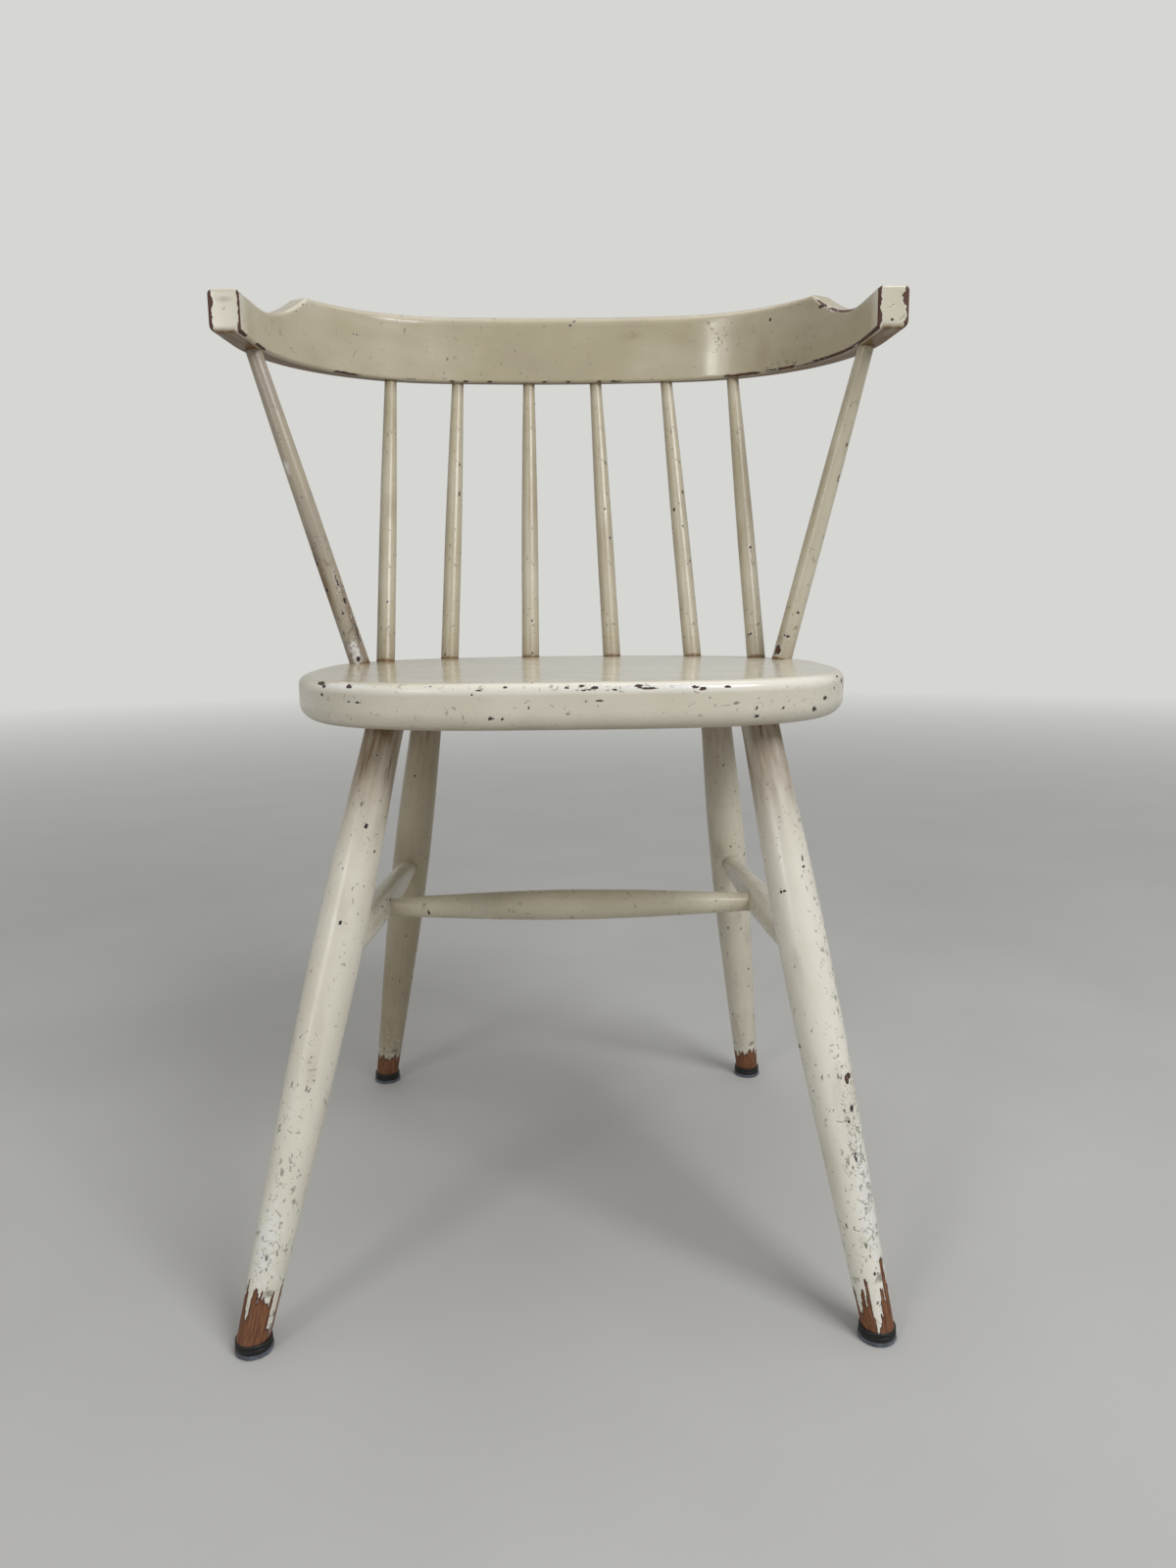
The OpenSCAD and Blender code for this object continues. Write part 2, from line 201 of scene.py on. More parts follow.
def soft_noise(
    tree: NodeTree,
    place: NodeSocket,
    grain_mm: float,
    detail: float = 2.0,
    warp: float = 0.0,
    rough: float = 0.5,
) -> NodeSocket:
    """Makes a soft noise whose spots are about grain_mm across.

    Args:
        tree: The node tree.
        place: Coordinates in metres.
        grain_mm: Size of a spot.
        detail: Octaves of finer noise.
        warp: Distortion of the noise.
        rough: Share of the finer octaves.

    Returns:
        A value around 0.5.
    """
    settings = {
        "[Scale]": 1 / (grain_mm * MM),
        "[Detail]": detail,
        "[Distortion]": warp,
        "[Roughness]": rough,
    }
    return add_node(tree, "ShaderNodeTexNoise", settings, {"Vector": place}).outputs["Fac"]


def new_material(name: str) -> tuple[Material, NodeTree, Node]:
    """Starts a material that holds only a Principled shader and an output.

    Args:
        name: The material's name.

    Returns:
        The material, its tree and its shader.
    """
    material = bpy.data.materials.new(name)
    material.use_nodes = True
    tree = material.node_tree
    tree.nodes.clear()
    shader = add_node(tree, "ShaderNodeBsdfPrincipled")
    add_node(tree, "ShaderNodeOutputMaterial", links={"Surface": shader.outputs["BSDF"]})
    return material, tree, shader


# ---------------------------------------------------------------- finishes


@dataclass(frozen=True)
class IvoryGlossPaint:
    """Old brushed oil-based gloss paint on beech: thick, yellowed, dirty and chipped.

    Gloss paint has an IOR of 1.5 and stays shiny where hands and clothes polish it. The
    film is a quarter of a millimetre thick, so a chip has a lit step round it, coloured as
    primer with a painted highlight. The grime field carries dirt and painted shade, and the
    tone and pale fields also carry painted shade and painted highlights.
    """

    name: str = "ivory_gloss_paint_on_beech"
    greyed: str = "#A0958C"
    yellowed: str = "#B7AD93"
    aged: str = "#D3CCB9"
    fresh: str = "#EDE9DB"
    # Brown of dirt; through the grime field it is also painted shade under the crest rail, at the leg tops
    # under the seat and over the rear left leg.
    dirt: str = "#70532E"
    primer_and_step_highlight: str = "#E4E3DE"
    old_wood: tuple[str, str, str, str] = ("#2C2320", "#4A2A20", "#6A4129", "#9A6B44")
    soot: str = "#46403B"
    roughness: float = 0.26
    film_mm: float = 0.25

    def material(self) -> Material:
        """Builds the paint, its wear and the wood under it.

        Returns:
            The material.
        """
        material, tree, shader = new_material(self.name)
        read = {
            name: add_node(tree, "ShaderNodeAttribute", {"attribute_name": name})
            for name in ("grain", "bare", "tone", "grime_and_shade", "pale", "speck", "gloss")
        }
        grain = read["grain"].outputs["Vector"]
        value = {name: node.outputs["Fac"] for name, node in read.items()}
        bare, step = self._chips(tree, grain, value["bare"])
        speck = self._specks(tree, grain, value["speck"])
        scratch = self._scratches(tree, grain, value["speck"])
        paint = self._paint(tree, grain, value)
        paint = blend_colour(tree, maths(tree, "MULTIPLY", scratch, 0.75), paint, "#6F675B")
        paint = blend_colour(tree, speck, paint, self.soot)
        # Pale rim round each chip: primer, and a painted highlight where the film's step catches the light.
        paint = blend_colour(tree, step, paint, self.primer_and_step_highlight)
        colour = blend_colour(tree, bare, paint, self._wood(tree, grain, value["bare"]))
        tree.links.new(colour, shader.inputs["Base Color"])
        self._surface(tree, shader, grain, value, bare, speck, scratch)
        return material

    def _chips(self, tree: NodeTree, grain: Any, bare: Any) -> tuple[Any, Any]:
        """Cuts the wear field to a crisp ragged edge.

        Args:
            tree: The node tree.
            grain: Coordinates along the wood's grain.
            bare: The wear field, 0.5 at the edge of the paint.

        Returns:
            The bare wood's mask and the mask of the pale step round it: primer with a painted
            highlight of the lit step.
        """
        drawn = add_node(
            tree, "ShaderNodeMapping", {"vector_type": "POINT", "[Scale]": (0.4, 1.0, 1.0)}, {"Vector": grain}
        ).outputs[0]
        ragged = soft_noise(tree, drawn, 1.3, 3.0, 0.4, 0.65)
        edge = maths(tree, "MULTIPLY_ADD", ragged, 2.6, -0.3)
        worn = maths(tree, "MULTIPLY", bare, edge)
        mask = maths(tree, "MULTIPLY_ADD", worn, 14.0, -6.5, clamp=True)
        rim = maths(tree, "MULTIPLY_ADD", worn, 8.0, -2.4, clamp=True)
        return mask, maths(tree, "MULTIPLY", rim, 0.6)

    def _specks(self, tree: NodeTree, grain: Any, amount: Any) -> Any:
        """Scatters small dark knocks, each a few tenths to two millimetres across.

        Args:
            tree: The node tree.
            grain: Coordinates along the wood's grain.
            amount: Share of the places that hold a knock.

        Returns:
            The knocks' mask.
        """
        warp = add_node(
            tree, "ShaderNodeTexNoise", {"[Scale]": 1 / (1.5 * MM), "[Detail]": 2.0}, {"Vector": grain}
        )
        bent = add_node(
            tree,
            "ShaderNodeVectorMath",
            {"operation": "MULTIPLY_ADD", "[1]": (0.004, 0.003, 0.003)},
            {0: warp.outputs["Color"], 2: grain},
        )
        ragged = maths(tree, "MULTIPLY_ADD", soft_noise(tree, grain, 0.8, 2.0), 0.34, -0.17)
        mask: Any = 0.0
        for pitch, small, wide, long, turn in (
            (5.0, 0.05, 0.27, 0.5, 0.0),
            (3.0, 0.05, 0.30, 0.4, 0.7),
            (2.4, 0.05, 0.30, 0.45, -0.9),
        ):
            laid = add_node(
                tree,
                "ShaderNodeMapping",
                {"vector_type": "POINT", "[Rotation]": (0.3, turn, turn), "[Scale]": (long, 1.0, 1.0)},
                {"Vector": bent.outputs[0]},
            )
            cells = add_node(
                tree,
                "ShaderNodeTexVoronoi",
                {"[Scale]": 1 / (pitch * MM), "[Randomness]": 1.0},
                {"Vector": laid.outputs[0]},
            )
            parts = add_node(tree, "ShaderNodeSeparateColor", links={"Color": cells.outputs["Color"]})
            chosen = maths(tree, "LESS_THAN", parts.outputs[0], amount)
            span = maths(tree, "MULTIPLY", parts.outputs[1], parts.outputs[1])
            radius = maths(tree, "MULTIPLY_ADD", span, wide, small)
            inside = maths(tree, "SUBTRACT", radius, cells.outputs["Distance"])
            inside = maths(tree, "ADD", inside, ragged)
            dot = maths(tree, "MULTIPLY", inside, 5.0 * pitch, clamp=True)
            shade = maths(tree, "MULTIPLY_ADD", parts.outputs[2], 0.5, 0.45)
            dot = maths(tree, "MULTIPLY", maths(tree, "MULTIPLY", dot, chosen), shade)
            mask = maths(tree, "MAXIMUM", dot, mask)
        return mask

    def _scratches(self, tree: NodeTree, grain: Any, amount: Any) -> Any:
        """Draws short curved hairline scratches, a third of a millimetre wide.

        Args:
            tree: The node tree.
            grain: Coordinates along the wood's grain.
            amount: The wear that opens them.

        Returns:
            The scratches' mask.
        """
        mask: Any = 0.0
        for size, width, open_at in ((23.0, 0.30, 0.655), (9.0, 0.22, 0.63)):
            curve = soft_noise(tree, grain, size, 1.0, 1.0)
            line = maths(tree, "ABSOLUTE", maths(tree, "SUBTRACT", curve, 0.5))
            thin = maths(tree, "MULTIPLY_ADD", line, -size / width / 1.6, 1.0, clamp=True)
            gate = soft_noise(tree, grain, size * 0.55, 1.0)
            opened = maths(tree, "MULTIPLY_ADD", amount, 0.28, -open_at)
            there = maths(tree, "MULTIPLY", maths(tree, "ADD", gate, opened), 12.0, clamp=True)
            mask = maths(tree, "MAXIMUM", maths(tree, "MULTIPLY", thin, there), mask)
        return mask

    def _paint(self, tree: NodeTree, grain: Any, value: dict[str, Any]) -> Any:
        """Mixes the paint's colour: yellowed, greyed, dirty and rubbed places, with the painted
        shade and painted highlights that the tone, grime and pale fields carry.

        Args:
            tree: The node tree.
            grain: Coordinates along the wood's grain.
            value: The fields of wear.

        Returns:
            The paint's colour.
        """
        cloud = soft_noise(tree, grain, 48.0, 2.0)
        tone = maths(tree, "MULTIPLY_ADD", cloud, 0.3, -0.15)
        shade = maths(tree, "ADD", value["tone"], tone)
        paint = ramp(
            tree,
            shade,
            [(0.0, self.greyed), (0.3, self.yellowed), (0.62, self.aged), (1.0, self.fresh)],
        )
        drawn = add_node(
            tree,
            "ShaderNodeMapping",
            {"vector_type": "POINT", "[Scale]": (0.12, 1.0, 1.0)},
            {"Vector": grain},
        ).outputs[0]
        streak = soft_noise(tree, drawn, 3.0, 3.0)
        film = maths(tree, "MULTIPLY_ADD", streak, 0.5, -0.13, clamp=True)
        paint = blend_colour(tree, maths(tree, "MULTIPLY", film, 0.2), paint, "#A89B80")
        patch = soft_noise(tree, drawn, 5.0, 4.0, 0.0, 0.65)
        # Dirt colour laid by the grime field: real dirt, and painted shade under the crest rail, at the leg
        # tops under the seat and over the rear left leg.
        dirty = maths(tree, "MULTIPLY", value["grime_and_shade"], maths(tree, "MULTIPLY_ADD", patch, 1.3, 0.25))
        paint = blend_colour(tree, dirty, paint, self.dirt)
        # Whitish rubbed paint; along the seat's front top edge the pale field also lays a painted highlight.
        rub = soft_noise(tree, grain, 4.0, 4.0, 0.4, 0.7)
        rubbed = maths(tree, "MULTIPLY_ADD", maths(tree, "ADD", rub, value["pale"]), 5.0, -4.0, clamp=True)
        return blend_colour(tree, maths(tree, "MULTIPLY", rubbed, 0.85), paint, "#ECEBE8")

    def _wood(self, tree: NodeTree, grain: Any, bare: Any) -> Any:
        """Draws beech's fine grain, dark with dirt in small chips.

        Args:
            tree: The node tree.
            grain: Coordinates along the wood's grain.
            bare: The wear field, above 1 where a large area is bare.

        Returns:
            The wood's colour.
        """
        drawn = add_node(
            tree,
            "ShaderNodeMapping",
            {"vector_type": "POINT", "[Scale]": (0.07, 1.0, 1.0)},
            {"Vector": grain},
        ).outputs[0]
        fibre = soft_noise(tree, drawn, 1.4, 4.0, 0.2, 0.7)
        wide = maths(tree, "MULTIPLY_ADD", bare, 0.42, -0.42)
        shade = maths(tree, "ADD", fibre, wide)
        return ramp(tree, shade, list(zip((0.3, 0.5, 0.68, 0.9), self.old_wood)))

    def _surface(
        self,
        tree: NodeTree,
        shader: Node,
        grain: Any,
        value: dict[str, Any],
        bare: Any,
        speck: Any,
        scratch: Any,
    ) -> None:
        """Sets gloss and relief.

        Args:
            tree: The node tree.
            shader: The Principled shader.
            grain: Coordinates along the wood's grain.
            value: The fields of wear.
            bare: Mask of the bare wood.
            speck: Mask of the knocks.
            scratch: Mask of the scratches.
        """
        smear = soft_noise(tree, grain, 30.0, 4.0)
        gloss = maths(tree, "MULTIPLY_ADD", smear, 0.22, self.roughness - 0.11)
        gloss = maths(tree, "MULTIPLY_ADD", value["grime_and_shade"], 0.25, gloss)
        gloss = maths(tree, "MULTIPLY_ADD", value["gloss"], -0.11, gloss)
        dull = maths(tree, "MAXIMUM", bare, speck)
        matt = maths(tree, "MULTIPLY_ADD", dull, 0.45, gloss, clamp=True)
        tree.links.new(matt, shader.inputs["Roughness"])
        shader.inputs["IOR"].default_value = POLYMER_IOR
        cut = maths(tree, "MAXIMUM", dull, maths(tree, "MULTIPLY", scratch, 0.6))
        film = maths(tree, "SUBTRACT", 1.0, cut)
        lip = add_node(
            tree,
            "ShaderNodeBump",
            {"[Strength]": 1.0, "[Distance]": self.film_mm * MM},
            {"Height": film},
        )
        brushed = add_node(
            tree,
            "ShaderNodeMapping",
            {"vector_type": "POINT", "[Scale]": (0.25, 1.0, 1.0)},
            {"Vector": grain},
        ).outputs[0]
        peel = add_node(
            tree,
            "ShaderNodeBump",
            {"[Distance]": 0.00012},
            {
                "Height": soft_noise(tree, brushed, 3.5, 3.0),
                "Strength": maths(tree, "MULTIPLY_ADD", value["gloss"], -0.3, 0.38),
                "Normal": lip.outputs[0],
            },
        )
        tree.links.new(peel.outputs[0], shader.inputs["Normal"])


@dataclass(frozen=True)
class MouldedPolythene:
    """Black injection-moulded polythene, scuffed grey and holding pale dust in its groove."""

    name: str = "black_moulded_polythene"
    fresh: str = "#060607"
    dust: str = "#262422"
    roughness: float = 0.44

    def material(self) -> Material:
        """Builds the plastic.

        Returns:
            The material.
        """
        material, tree, shader = new_material(self.name)
        place = add_node(tree, "ShaderNodeTexCoord").outputs["Object"]
        smear = soft_noise(tree, place, 4.0, 4.0, 0.5, 0.65)
        dusty = maths(tree, "MULTIPLY_ADD", smear, 2.6, -1.25, clamp=True)
        colour = blend_colour(tree, maths(tree, "MULTIPLY", dusty, 0.16), self.fresh, self.dust)
        tree.links.new(colour, shader.inputs["Base Color"])
        rough = maths(tree, "MULTIPLY_ADD", dusty, 0.35, self.roughness)
        tree.links.new(rough, shader.inputs["Roughness"])
        shader.inputs["IOR"].default_value = POLYMER_IOR
        bump = add_node(
            tree,
            "ShaderNodeBump",
            {"[Strength]": 0.4, "[Distance]": 0.00008},
            {"Height": soft_noise(tree, place, 0.8, 2.0)},
        )
        tree.links.new(bump.outputs[0], shader.inputs["Normal"])
        return material


@dataclass(frozen=True)
class PressedFelt:
    """Grey-blue pressed wool felt: matt, mottled at a millimetre and dirty at its rim."""

    name: str = "grey_blue_pressed_felt"
    wool: str = "#646A76"
    dirt: str = "#3B3A3A"

    def material(self) -> Material:
        """Builds the felt.

        Returns:
            The material.
        """
        material, tree, shader = new_material(self.name)
        place = add_node(tree, "ShaderNodeTexCoord").outputs["Object"]
        mottle = soft_noise(tree, place, 1.1, 4.0, 1.0, 0.7)
        soiled = soft_noise(tree, place, 7.0, 3.0)
        tuft = ramp(tree, mottle, [(0.25, "#454B57"), (0.55, self.wool), (0.8, "#9AA1AD")])
        dirty = maths(tree, "MULTIPLY_ADD", soiled, 3.0, -1.2, clamp=True)
        colour = blend_colour(tree, maths(tree, "MULTIPLY", dirty, 0.6), tuft, self.dirt)
        tree.links.new(colour, shader.inputs["Base Color"])
        shader.inputs["Roughness"].default_value = 0.95
        shader.inputs["Sheen Weight"].default_value = 0.3
        bump = add_node(
            tree,
            "ShaderNodeBump",
            {"[Strength]": 0.9, "[Distance]": 0.0004},
            {"Height": soft_noise(tree, place, 0.7, 3.0, 1.5)},
        )
        tree.links.new(bump.outputs[0], shader.inputs["Normal"])
        return material


@dataclass(frozen=True)
class PlainSteel:
    """Drawn steel wire, dulled by storage: grey, with fine lines along it."""

    name: str = "plain_drawn_steel"
    metal: str = "#9A9B9D"

    def material(self) -> Material:
        """Builds the steel.

        Returns:
            The material.
        """
        material, tree, shader = new_material(self.name)
        place = add_node(tree, "ShaderNodeTexCoord").outputs["Object"]
        drawn = add_node(
            tree, "ShaderNodeMapping", {"vector_type": "POINT", "[Scale]": (1.0, 1.0, 0.1)}, {"Vector": place}
        ).outputs[0]
        line = soft_noise(tree, drawn, 0.5, 3.0)
        colour = ramp(tree, line, [(0.3, "#77787A"), (0.7, self.metal)])
        tree.links.new(colour, shader.inputs["Base Color"])
        shader.inputs["Metallic"].default_value = 1.0
        tree.links.new(maths(tree, "MULTIPLY_ADD", line, 0.3, 0.25), shader.inputs["Roughness"])
        return material


@dataclass(frozen=True)
class StudioFloor:
    """A matt pale studio floor that fades into the background away from the chair."""

    name: str = "pale_studio_floor"
    floor: str = "#C6C5C2"
    background: str = "#D6D6D3"
    fade_from_m: float = 0.9
    fade_to_m: float = 5.4

    def material(self) -> Material:
        """Builds the floor.

        Returns:
            The material.
        """
        material, tree, shader = new_material(self.name)
        place = add_node(tree, "ShaderNodeTexCoord").outputs["Object"]
        cloud = soft_noise(tree, place, 260.0, 3.0)
        colour = ramp(tree, cloud, [(0.3, "#C0BFBC"), (0.7, self.floor)])
        tree.links.new(colour, shader.inputs["Base Color"])
        shader.inputs["Roughness"].default_value = 0.75
        glow = add_node(
            tree, "ShaderNodeEmission", {"[Color]": linear(self.background), "[Strength]": 1.0}
        )
        far = add_node(tree, "ShaderNodeVectorMath", {"operation": "LENGTH"}, {0: place})
        run = self.fade_to_m - self.fade_from_m
        share = maths(
            tree, "MULTIPLY_ADD", far.outputs["Value"], 1 / run, -self.fade_from_m / run, clamp=True
        )
        mix = add_node(
            tree, "ShaderNodeMixShader", links={0: share, 1: shader.outputs[0], 2: glow.outputs[0]}
        )
        output = next(n for n in tree.nodes if n.type == "OUTPUT_MATERIAL")
        tree.links.new(mix.outputs[0], output.inputs["Surface"])
        return material


# ---------------------------------------------------------------- wear


class Wear(Enum):
    """What a mark does to the paint; each value is the field that it is written to."""

    BARE = "bare"
    STAIN_AND_SHADE = "grime_and_shade"
    RUBBED = "pale"
    SPECKED = "speck"
    GREYED = "tone"
    POLISHED = "gloss"


@dataclass(frozen=True)
class Mark:
    """One worn place, in millimetres in its piece's own grain coordinates.

    Attributes:
        at: The middle: along the grain, then across it both ways.
        size: Half-lengths the same three ways.
        wear: What it does.
        power: How strong it is; 1 goes clean through the paint.
    """

    at: tuple[float, float, float]
    size: tuple[float, float, float]
    wear: Wear = Wear.BARE
    power: float = 1.1

    def lay(self, fields: dict[str, np.ndarray], grain: np.ndarray) -> None:
        """Writes the mark into its field.

        Args:
            fields: The piece's fields of wear.
            grain: Every vertex's place, in millimetres.
        """
        away = (grain - np.array(self.at)) / np.array(self.size)
        reach = np.clip(1.35 - np.linalg.norm(away, axis=1) * 0.85, 0.0, 1.0)
        fields[self.wear.value] = np.maximum(fields[self.wear.value], self.power * reach)


def value_noise(place: np.ndarray, cell: float, seed: int, octaves: int = 3) -> np.ndarray:
    """Makes smooth noise between 0 and 1 at each place.

    Args:
        place: Points, one a row, in millimetres.
        cell: Size of the largest spots.
        seed: Picks the pattern.
        octaves: Layers, each half the size of the last.

    Returns:
        One value a point, around 0.5.
    """
    total = np.zeros(len(place))
    weight = 0.0
    for octave in range(octaves):
        scaled = place / (cell / 2**octave) + 31.7 * (octave + 1)
        low = np.floor(scaled).astype(np.int64)
        part = scaled - low
        part = part * part * (3 - 2 * part)
        layer = np.zeros(len(place))
        for corner in range(8):
            step = np.array([corner & 1, corner >> 1 & 1, corner >> 2 & 1])
            at = low + step
            key = at[:, 0] * PRIME_X ^ at[:, 1] * PRIME_Y ^ at[:, 2] * PRIME_Z
            key = key ^ ((seed + octave * 101) * 2654435761)
            key = (key ^ (key >> 13)) * 1274126177 & 0x7FFFFFFF
            share = np.where(step == 1, part, 1 - part).prod(axis=1)
            layer += share * ((key >> 8 & 0xFFFF) / 65535.0)
        total += layer / 2**octave
        weight += 1 / 2**octave
    return total / weight


def rise(value: np.ndarray, low: float, high: float) -> np.ndarray:
    """Goes smoothly from 0 at low to 1 at high.

    Args:
        value: Any numbers.
        low: Where it starts.
        high: Where it ends; it may be below low.

    Returns:
        Values from 0 to 1.
    """
    share = np.clip((value - low) / (high - low), 0.0, 1.0)
    return share * share * (3 - 2 * share)


# ---------------------------------------------------------------- meshes


def skin_mesh(name: str, rings: np.ndarray) -> Mesh:
    """Covers rings of points with quads and closes both ends with a fan.

    Args:
        name: The mesh's name.
        rings: Points in millimetres: ring, place round the ring, X Y Z.

    Returns:
        A closed mesh in metres; its two last vertices are the fans' middles.
    """
    count, around = rings.shape[:2]
    points = rings.reshape(-1, 3)
    middles = np.array([rings[0].mean(axis=0), rings[-1].mean(axis=0)])
    points = np.vstack([points, middles])
    ring, place = np.meshgrid(np.arange(count - 1), np.arange(around), indexing="ij")
    after = (place + 1) % around
    quads = np.stack(
        [
            ring * around + place,
            ring * around + after,
            (ring + 1) * around + after,
            (ring + 1) * around + place,
        ],
        axis=-1,
    ).reshape(-1, 4)
    turn = np.arange(around)
    nxt = (turn + 1) % around
    base = (count - 1) * around
    fans = np.vstack(
        [
            np.stack([np.full(around, len(points) - 2), nxt, turn], axis=1),
            np.stack([np.full(around, len(points) - 1), base + turn, base + nxt], axis=1),
        ]
    )
    mesh = bpy.data.meshes.new(name)
    faces = [tuple(f) for f in quads.tolist()] + [tuple(f) for f in fans.tolist()]
    mesh.from_pydata((points * MM).tolist(), [], faces)
    mesh.polygons.foreach_set("use_smooth", [True] * len(mesh.polygons))
    return mesh


def mesh_points(mesh: Mesh) -> np.ndarray:
    """Reads a mesh's vertices in millimetres."""
    flat = np.zeros(len(mesh.vertices) * 3)
    mesh.vertices.foreach_get("co", flat)
    return flat.reshape(-1, 3) / MM


def face_outwards(mesh: Mesh) -> None:
    """Turns a closed mesh's faces outwards if its volume comes out negative.

    Args:
        mesh: A closed mesh.
    """
    mesh.calc_loop_triangles()
    points = mesh_points(mesh)
    corners = np.zeros(len(mesh.loop_triangles) * 3, dtype=np.int64)
    mesh.loop_triangles.foreach_get("vertices", corners)
    a, b, c = (points[corners.reshape(-1, 3)[:, i]] for i in range(3))
    if np.einsum("ij,ij->i", a, np.cross(b, c)).sum() < 0:
        mesh.flip_normals()


def write_fields(
    mesh: Mesh, grain: np.ndarray, fields: dict[str, np.ndarray], sink_mm: float = 0.3
) -> None:
    """Stores the fields of wear on the mesh and sinks the bare places by the paint's depth.

    Args:
        mesh: The mesh.
        grain: Every vertex's grain coordinates in millimetres.
        fields: One value a vertex for each field.
        sink_mm: Depth of a bare place.
    """
    face_outwards(mesh)
    normals = np.zeros(len(mesh.vertices) * 3)
    mesh.vertices.foreach_get("normal", normals)
    points = mesh_points(mesh)
    sunk = sink_mm * rise(fields["bare"], 0.4, 0.75)
    points = points - normals.reshape(-1, 3) * sunk[:, None]
    mesh.vertices.foreach_set("co", (points * MM).ravel())
    layer = mesh.attributes.new("grain", "FLOAT_VECTOR", "POINT")
    layer.data.foreach_set("vector", (grain * MM).ravel())
    for name, values in fields.items():
        layer = mesh.attributes.new(name, "FLOAT", "POINT")
        layer.data.foreach_set("value", np.clip(values, 0.0, 1.6))
    mesh.update()


def blank_fields(count: int) -> dict[str, np.ndarray]:
    """Starts the fields of wear of a clean painted piece.

    Args:
        count: Number of vertices.

    Returns:
        The fields, with the tone of plain aged paint.
    """
    fields = {wear.value: np.zeros(count) for wear in Wear}
    fields["tone"] += AGED
    return fields


def place_piece(
    name: str, mesh: Mesh, material: Material, node: str
) -> Object:
    """Puts a finished mesh into the scene in the place of a frame node.

    Args:
        name: The piece's name.
        mesh: Its mesh, already in place.
        material: Its finish.
        node: The frame node that it stands for.

    Returns:
        The piece.
    """
    face_outwards(mesh)
    mesh.materials.clear()
    mesh.materials.append(material)
    piece = bpy.data.objects.new(name, mesh)
    bpy.context.scene.collection.objects.link(piece)
    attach(piece, "root")
    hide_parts(node)
    log.info("%s stands for %s: %d faces", name, node, len(mesh.polygons))
    return piece


@dataclass(frozen=True)
class Axis:
    """The axis of a turned piece.

    Attributes:
        start: Its lower or left end.
        end: Its other end.
    """

    start: np.ndarray
    end: np.ndarray

    @property
    def length(self) -> float:
        """Distance between its ends."""
        return float(np.linalg.norm(self.end - self.start))

    @property
    def along(self) -> np.ndarray:
        """Unit vector from start to end."""
        return (self.end - self.start) / self.length

    @property
    def sideways(self) -> np.ndarray:
        """Unit vector across it: towards +X on an upright piece, upwards on a level one."""
        guide = np.array([1.0, 0, 0]) if abs(self.along[2]) > 0.5 else np.array([0, 0, 1.0])
        across = guide - guide.dot(self.along) * self.along
        return across / np.linalg.norm(across)

    @property
    def forwards(self) -> np.ndarray:
        """Unit vector across it that looks to the chair's front, or to its middle."""
        across = np.cross(self.sideways, self.along)
        return across if across[1] < 0 or abs(self.along[2]) > 0.5 else -across

    def grain(self, points: np.ndarray) -> np.ndarray:
        """Gives points' distance along the axis and two distances from it.

        Args:
            points: Points in millimetres.

        Returns:
            Along, sideways and forwards, one row a point.
        """
        away = points - self.start
        return np.stack([away @ self.along, away @ self.sideways, away @ self.forwards], axis=1)

    @staticmethod
    def of_node(node: str) -> "Axis":
        """Finds the axis of a plain turned frame node from its two end faces.

        Args:
            node: The node's name.

        Returns:
            The axis from the lower end to the upper, or from the smaller X or Y.
        """
        points = mesh_points(bpy.data.objects[node].data)
        middle = points.mean(axis=0)
        line = np.linalg.svd(points - middle, full_matrices=False)[2][0]
        for _ in range(3):
            far = (points - middle) @ line
            low = points[far < far.min() + 1.0].mean(axis=0)
            high = points[far > far.max() - 1.0].mean(axis=0)
            line = (high - low) / np.linalg.norm(high - low)
            middle = (low + high) / 2
        flip = high[2] < low[2] - 5 or (abs(high[2] - low[2]) <= 5 and (high - low).sum() < 0)
        return Axis(high, low) if flip else Axis(low, high)


# ---------------------------------------------------------------- turned pieces


def flakes(grain: np.ndarray, cell: float, share: float, seed: int, steep: float = 9.0) -> np.ndarray:
    """Breaks a share of a surface into flakes.

    Args:
        grain: Every vertex's place, in millimetres.
        cell: Size of the largest flakes.
        share: Share of the surface that they take.
        seed: Picks the pattern.
        steep: How fast the field climbs at a flake's edge.

    Returns:
        A bare field: 0.5 at a flake's edge.
    """
    noise = value_noise(grain, cell, seed, 3)
    edge = float(np.quantile(noise, 1 - share))
    return np.clip(0.5 + (noise - edge) * steep, 0.0, 1.1)


@dataclass(frozen=True)
class Knock:
    """A worn place on a turned piece.

    Attributes:
        along: Its distance from the lower or left end.
        angle: Where it is round the piece: 0 is the front or top, 90 the right.
        long: Half its length along the piece.
        wide: Half its width.
        wear: What it does.
        power: How strong it is.
    """

    along: float
    angle: float
    long: float = 2.0
    wide: float = 1.5
    wear: Wear = Wear.BARE
    power: float = 1.1

    def mark(self, radius: float) -> Mark:
        """Gives the mark's place on a piece of that radius.

        Args:
            radius: The piece's radius there.

        Returns:
            The mark.
        """
        turn = math.radians(self.angle)
        at = (self.along, radius * math.sin(turn), radius * math.cos(turn))
        return Mark(at, (self.long, self.wide, self.wide), self.wear, self.power)


@dataclass(frozen=True)
class StickSizes:
    """Diameters and lengths of a turned stick."""

    foot_d: float
    belly_d: float
    top_d: float
    belly_at: float
    plain: float
    rings: int = 200
    sides: int = 30
    unevenness: float = 0.22


